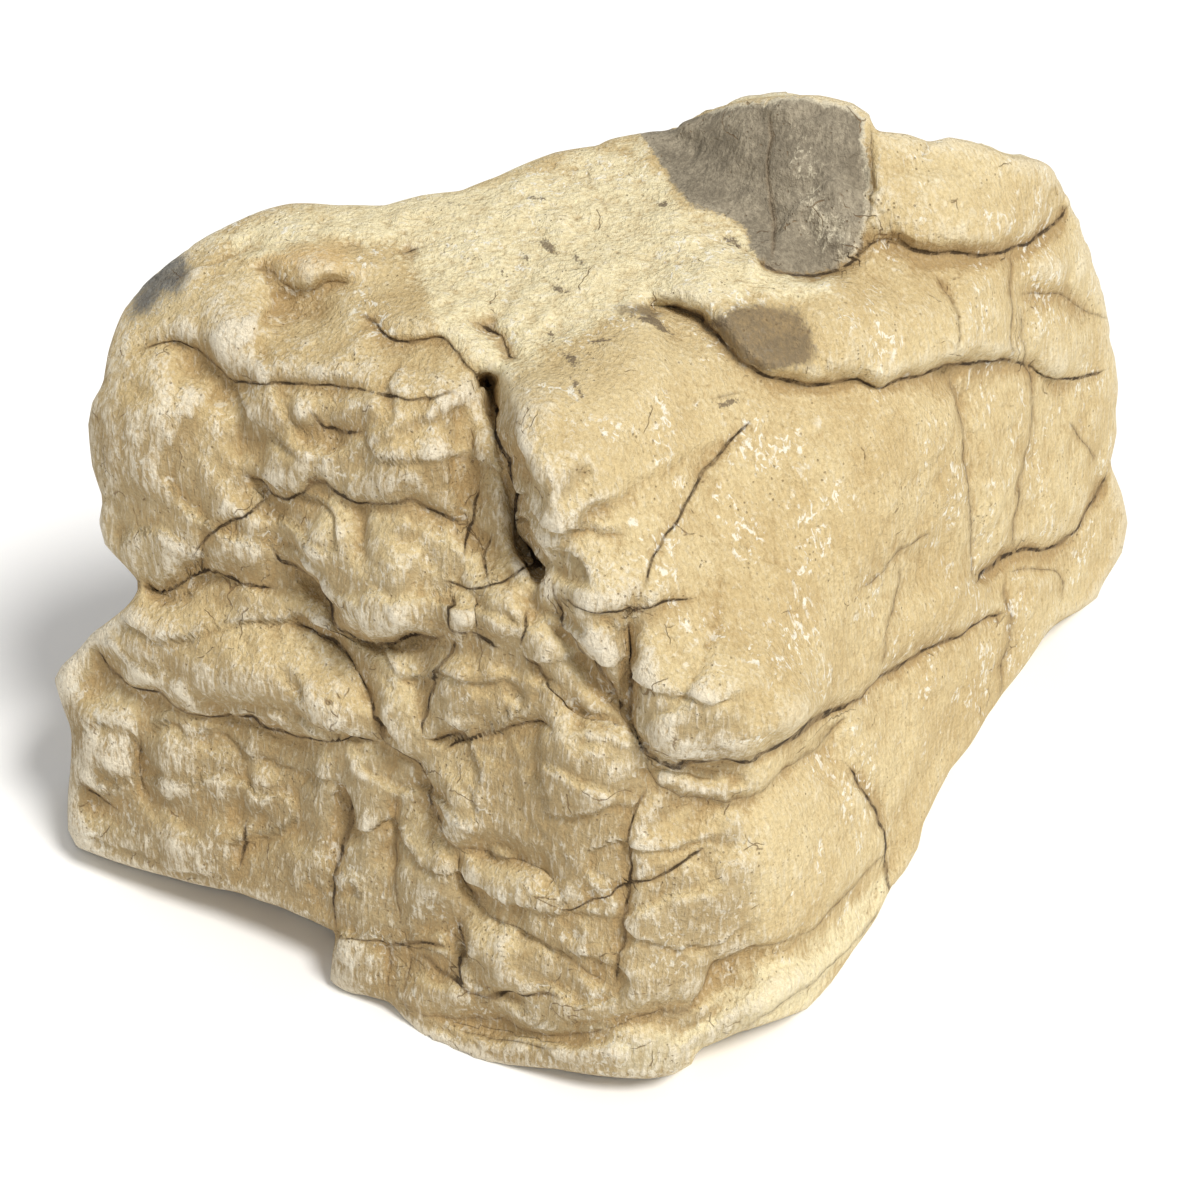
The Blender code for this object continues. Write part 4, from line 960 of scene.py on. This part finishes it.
class StonePaint(Paint):
    """The stone's material, laid on from the ground colour up to the cracks."""

    def __init__(self):
        super().__init__("weathered_stone")
        self.line = self.math("ABSOLUTE", self.attribute("crack_line"))
        self.dark = self.attribute("crack_dark")
        self.to_left = self.attribute("to_left")
        self.hollow_fine = self.attribute("hollow_fine")
        self.hollow_broad = self.attribute("hollow_broad")
        self.middling = self.noise(9.0, 4.0, 0.6)
        self.fine = self.noise(1.6, 5.0, 0.7)
        self.grain = self.noise(0.55, 2.0, 0.6)
        self.fur = self.noise(1.0, 4.0, 0.65, 0.5, self.stretched((1.0, 1.0, 0.20)))
        self.colour = self.ground()
        # Painted shade: the left face is darkened where it doesn't turn up to the light.
        self.lay(self.attribute("shaded"), self.mix(1.0, self.colour, LEFT_SHADE_AND_GREY, "MULTIPLY"))
        dusky = self.inside("dusky_in", (self.middling, 12.0))
        self.lay(self.ramp(dusky, 4.0, 12.0), self.mix(1.0, self.colour, DUSKY_TINT, "MULTIPLY"))
        self.weather_and_paint_light()
        self.stroke()
        self.scuff()
        self.break_open()
        self.soil_and_shade_cracks()
        self.draw_hairlines()
        self.pit()
        self.connect(self.colour, self.surface.inputs["Base Color"])
        self.connect(self.ramp(self.grain, 0.3, 0.7, 0.82, 0.96), self.surface.inputs["Roughness"])
        self.surface.inputs["Specular IOR Level"].default_value = 0.25
        self.roughen()

    def lay(self, amount, colour, blend="MIX"):
        self.colour = self.mix(amount, self.colour, colour, blend)

    def times(self, first, second):
        return self.math("MULTIPLY", first, second)

    def total(self, *terms):
        """The sum of (value, weight) pairs."""
        result = 0.0
        for value, weight in terms:
            result = self.math("MULTIPLY_ADD", value, weight, result)
        return result

    def inside(self, patch, *terms):
        """How far inside a patch a place lies, with the patch's edge made ragged by the terms."""
        return self.total((self.attribute(patch), 1.0), *terms)

    def by_side(self, smooth, left):
        """One share on the smooth faces and another on the left face."""
        return self.ramp(self.to_left, 0.0, 1.0, smooth, left)

    def ground(self):
        broad = self.noise(34.0, 3.0)
        colour = self.mix(self.ramp(broad, 0.36, 0.66), TAN, CREAM)
        colour = self.mix(self.ramp(self.middling, 0.42, 0.62, 0.0, 0.40), colour, CREAM)
        rust = self.inside("rust_in", (self.middling, 12.0))
        colour = self.mix(self.ramp(rust, 3.0, 11.0, 0.0, 0.80), colour, RUST)
        # Painted light on the strip along the foot.
        painted_light = self.inside("painted_light_in", (self.middling, 6.0), (self.fur, 4.0))
        colour = self.mix(self.ramp(painted_light, 4.5, 7.5, 0.0, 0.8), colour, CRUST_CREAM)
        ragged = self.inside("crust_in", (self.middling, 14.0), (self.fur, 6.0))
        crust = self.ramp(ragged, 8.0, 12.0)
        hatch = self.noise(0.9, 4.0, 0.7, 0.6, self.stretched((0.22, 1.0, 1.0), (0.0, 0.0, 0.6)))
        mottled = self.mix(self.ramp(self.noise(3.0, 4.0, 0.7), 0.56, 0.40, 0.0, 0.40), CRUST_CREAM, CREAM)
        mottled = self.mix(self.ramp(hatch, 0.44, 0.32, 0.0, 0.55), mottled, BROWN)
        mottled = self.mix(self.ramp(hatch, 0.54, 0.68, 0.0, 0.50), mottled, SCUFF)
        return self.mix(crust, colour, mottled)

    def weather_and_paint_light(self):
        """Pale crests, partly rubbed wear and partly painted highlight, and brown hollows, partly soil and
        partly painted shade, both feathered by the fur.
        """
        # Painted highlight, partly rubbed wear: the crests and the fur's peaks turn pale.
        crest_wear_and_highlight = self.total((self.hollow_broad, -0.20), (self.hollow_fine, -1.5), (self.middling, 2.2),
                             (self.fur, 5.0), (self.fine, 2.0))
        pale = self.mix(self.to_left, PALE, LEFT_PALE)
        self.lay(self.times(self.ramp(crest_wear_and_highlight, 4.80, 6.90), self.by_side(0.60, 0.85)), pale)
        # Painted shade, partly soil: the hollows and the ground beside cracks turn brown.
        hollow_soil_and_shade = self.total((self.hollow_broad, 0.20), (self.hollow_fine, 1.5),
                            (self.attribute("stain"), 1.1), (self.middling, -1.2), (self.fur, -3.5),
                            (self.fine, -1.5))
        self.lay(self.ramp(hollow_soil_and_shade, -3.3, -1.3, 0.0, 0.80), BROWN)

    def stroke(self):
        """Short pale strokes and brown ones between them, and the grit."""
        pale = self.ramp(self.fur, 0.52, 0.66)
        self.lay(self.times(pale, self.by_side(0.16, 0.30)), LEFT_PALE)
        brown = self.ramp(self.fur, 0.46, 0.32)
        self.lay(self.times(brown, self.by_side(0.18, 0.34)), BROWN)
        self.lay(self.ramp(self.fine, 0.60, 0.75, 0.0, 0.25), PALE)
        self.lay(self.ramp(self.fine, 0.40, 0.25, 0.0, 0.30), BROWN)
        grit = self.mix(self.ramp(self.noise(0.7, 4.0, 0.75), 0.32, 0.68), GRIT_DARK, GRIT_LIGHT)
        self.lay(1.0, grit, "MULTIPLY")

    def scuff(self):
        """White scuffs, in clusters that the smooth face has most of."""
        swirl = self.noise(3.4, 2.0, 0.55, 0.8, self.stretched((1.0, 1.0, 0.45), (0.0, 0.5, 0.3)))
        stroke = self.ramp(self.math("ABSOLUTE", self.math("SUBTRACT", swirl, 0.5)), 0.060, 0.015)
        cluster = self.ramp(self.noise(15.0, 3.0, 0.6), 0.51, 0.60)
        broken = self.ramp(self.noise(2.0, 3.0, 0.6), 0.48, 0.58)
        amount = self.times(self.times(stroke, cluster), broken)
        self.lay(self.times(amount, self.by_side(0.85, 0.5)), SCUFF)

    def break_open(self):
        """Grey and brown fresh breaks with upright striations, and the scraped place on one of them."""
        lines = self.noise(0.9, 4.0, 0.7, 0.3, self.stretched((1.0, 1.0, 0.12)))
        tone = self.total((lines, 1.0), (self.middling, 0.9), (self.fine, 0.4))
        grey = self.mix(self.ramp(tone, 0.95, 1.45), GREY_BREAK, GREY_LIGHT)
        scraped = self.total((self.attribute("scraped_in"), 0.05), (self.fur, 1.3), (self.fine, 0.7))
        grey = self.mix(self.ramp(scraped, 1.10, 1.40, 0.0, 0.65), grey, PALE)
        ragged = self.inside("grey_in", (self.fine, 4.0), (self.middling, 3.0))
        off_crust = self.ramp(self.attribute("crust_in"), -2.0, -5.0, 0.0, 0.7)
        rim = self.times(self.ramp(ragged, 5.1, 3.9), off_crust)
        self.lay(self.ramp(ragged, 3.2, 4.2), self.mix(rim, grey, PALE))
        slate = self.inside("slate_in", (self.middling, 5.0), (self.fur, 5.0))
        self.lay(self.ramp(slate, 2.5, 7.5, 0.0, 0.85), self.mix(self.ramp(tone, 1.2, 1.8), SLATE, PALE))
        brown = self.mix(self.ramp(tone, 1.00, 1.70, 0.0, 0.8), BROWN_BREAK, BROWN)
        ragged = self.inside("brown_in", (self.middling, 9.0), (self.fur, 5.0), (self.fine, 3.0))
        self.lay(self.ramp(ragged, 7.2, 10.4, 0.0, 0.92), brown)
        # Brown flecks in the crust, partly painted shade of small pits.
        fleck = self.inside("fleck_in", (self.fine, 2.4), (self.grain, 1.6))
        self.lay(self.ramp(fleck, 2.05, 2.55, 0.0, 0.85), FLECK_BROWN)

    def soil_and_shade_cracks(self):
        """The dark thread inside each crack, painted shade of its depth, wider in the wide ones, and the
        soil beside it.
        """
        self.ragged = self.total((self.line, 1.0), (self.fine, 0.55), (self.noise(3.0, 2.0), 0.35))
        beside = self.times(self.ramp(self.ragged, 1.35, 0.40, 0.0, 0.55), self.dark)
        self.lay(beside, SOIL)
        # Painted shade: a near-black thread in the depth of the crack, broken along its length.
        wide = self.ramp(self.dark, 0.55, 1.0, 0.0, 0.26)
        across = self.math("SUBTRACT", self.ragged, wide)
        thread = self.ramp(self.noise(6.0, 4.0, 0.7), 0.42, 0.56, 0.20, 1.0)
        self.lay(self.times(self.ramp(across, 0.66, 0.46), self.times(self.dark, thread)), CRACK_BLACK)

    def draw_hairlines(self):
        size = 15.0 * MM
        reach = 9.0 * MM
        drift = self.add("ShaderNodeTexNoise", {"Vector": self.place, "Scale": 1.0 / reach, "Detail": 3.0})
        warped = self.add("ShaderNodeVectorMath", operation="MULTIPLY_ADD")
        self.connect(drift.outputs["Color"], warped.inputs[0])
        self.connect((reach,) * 3, warped.inputs[1])
        self.connect(self.place, warped.inputs[2])
        net = self.add("ShaderNodeTexVoronoi", {"Vector": warped.outputs["Vector"], "Scale": 1.0 / size},
                       feature="DISTANCE_TO_EDGE")
        thin = self.ramp(net.outputs["Distance"], 0.012, 0.003)
        here = self.total((self.noise(11.0, 3.0, 0.7), 1.0), (self.to_left, 0.05))
        self.hair = self.times(thin, self.ramp(here, 0.60, 0.66))
        self.lay(self.times(self.hair, 0.7), SOIL)

    def pit(self):
        """Fine dark specks and pits."""
        cells = self.add("ShaderNodeTexVoronoi", {"Vector": self.place, "Scale": 1.0 / (1.6 * MM)})
        cluster = self.ramp(self.total((self.middling, 1.0), (self.to_left, 0.04)), 0.50, 0.62)
        self.speck = self.times(self.ramp(cells.outputs["Distance"], 0.20, 0.08), cluster)
        self.lay(self.times(self.speck, 0.55), SOIL)

    def roughen(self):
        groove = self.times(self.ramp(self.ragged, 1.1, 0.3), self.dark)
        height = self.total((self.fine, 0.6), (self.noise(3.2, 3.0, 0.6), 1.2), (self.grain, 0.2),
                            (self.fur, 1.1), (groove, -0.8), (self.speck, -0.5), (self.hair, -0.4))
        bump = self.add("ShaderNodeBump", {"Height": height, "Strength": 0.9, "Distance": 0.9 * MM})
        self.connect(bump.outputs["Normal"], self.surface.inputs["Normal"])


def floor_material():
    paint = Paint("pale_floor")
    tone = paint.ramp(paint.noise(300.0, 2.0), 0.3, 0.7)
    paint.connect(paint.mix(tone, *FLOOR_SHADES), paint.surface.inputs["Base Color"])
    paint.surface.inputs["Roughness"].default_value = 0.9
    paint.surface.inputs["Specular IOR Level"].default_value = 0.1
    return paint.material


def make_floor():
    half = 4.0
    below = -0.2 * MM
    mesh = bpy.data.meshes.new("floor")
    corners = [(-half, -half, below), (half, -half, below), (half, half, below), (-half, half, below)]
    mesh.from_pydata(corners, [], [(0, 1, 2, 3)])
    mesh.materials.append(floor_material())
    return in_scene("floor", mesh)


def make_camera(shift):
    camera = in_scene("camera", bpy.data.cameras.new("camera"))
    camera.data.sensor_width = FILM_WIDTH
    camera.data.lens = UNITS_PER_SLOPE * FILM_WIDTH / DRAWING_SIZE
    camera.location = Vector(EYE) + shift
    camera.rotation_euler = Vector(-TOWARDS_EYE).to_track_quat("-Z", "Y").to_euler()
    bpy.context.scene.camera = camera


def make_sun(azimuth, elevation, softness, strength, colour):
    lamp = bpy.data.lights.new("key", "SUN")
    lamp.angle = math.radians(softness)
    lamp.energy = strength
    lamp.color = colour
    sun = in_scene("key", lamp)
    towards = Vector(direction(azimuth, elevation))
    sun.location = towards
    sun.rotation_euler = towards.to_track_quat("Z", "Y").to_euler()


def make_world(strength):
    world = bpy.data.worlds.new("soft_white")
    world.use_nodes = True
    sky = world.node_tree.nodes["Background"]
    sky.inputs["Color"].default_value = (1.0, 1.0, 1.0, 1.0)
    sky.inputs["Strength"].default_value = strength
    bpy.context.scene.world = world


def main():
    stone, shift = make_stone()
    stone.data.materials.append(StonePaint().material)
    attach(stone, "root")
    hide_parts("rock")
    make_floor()
    make_camera(shift)
    make_world(strength=0.49)
    make_sun(azimuth=38, elevation=54, softness=14, strength=2.90, colour=(1.0, 0.98, 0.94))
    bpy.context.scene.view_settings.view_transform = "Standard"


main()
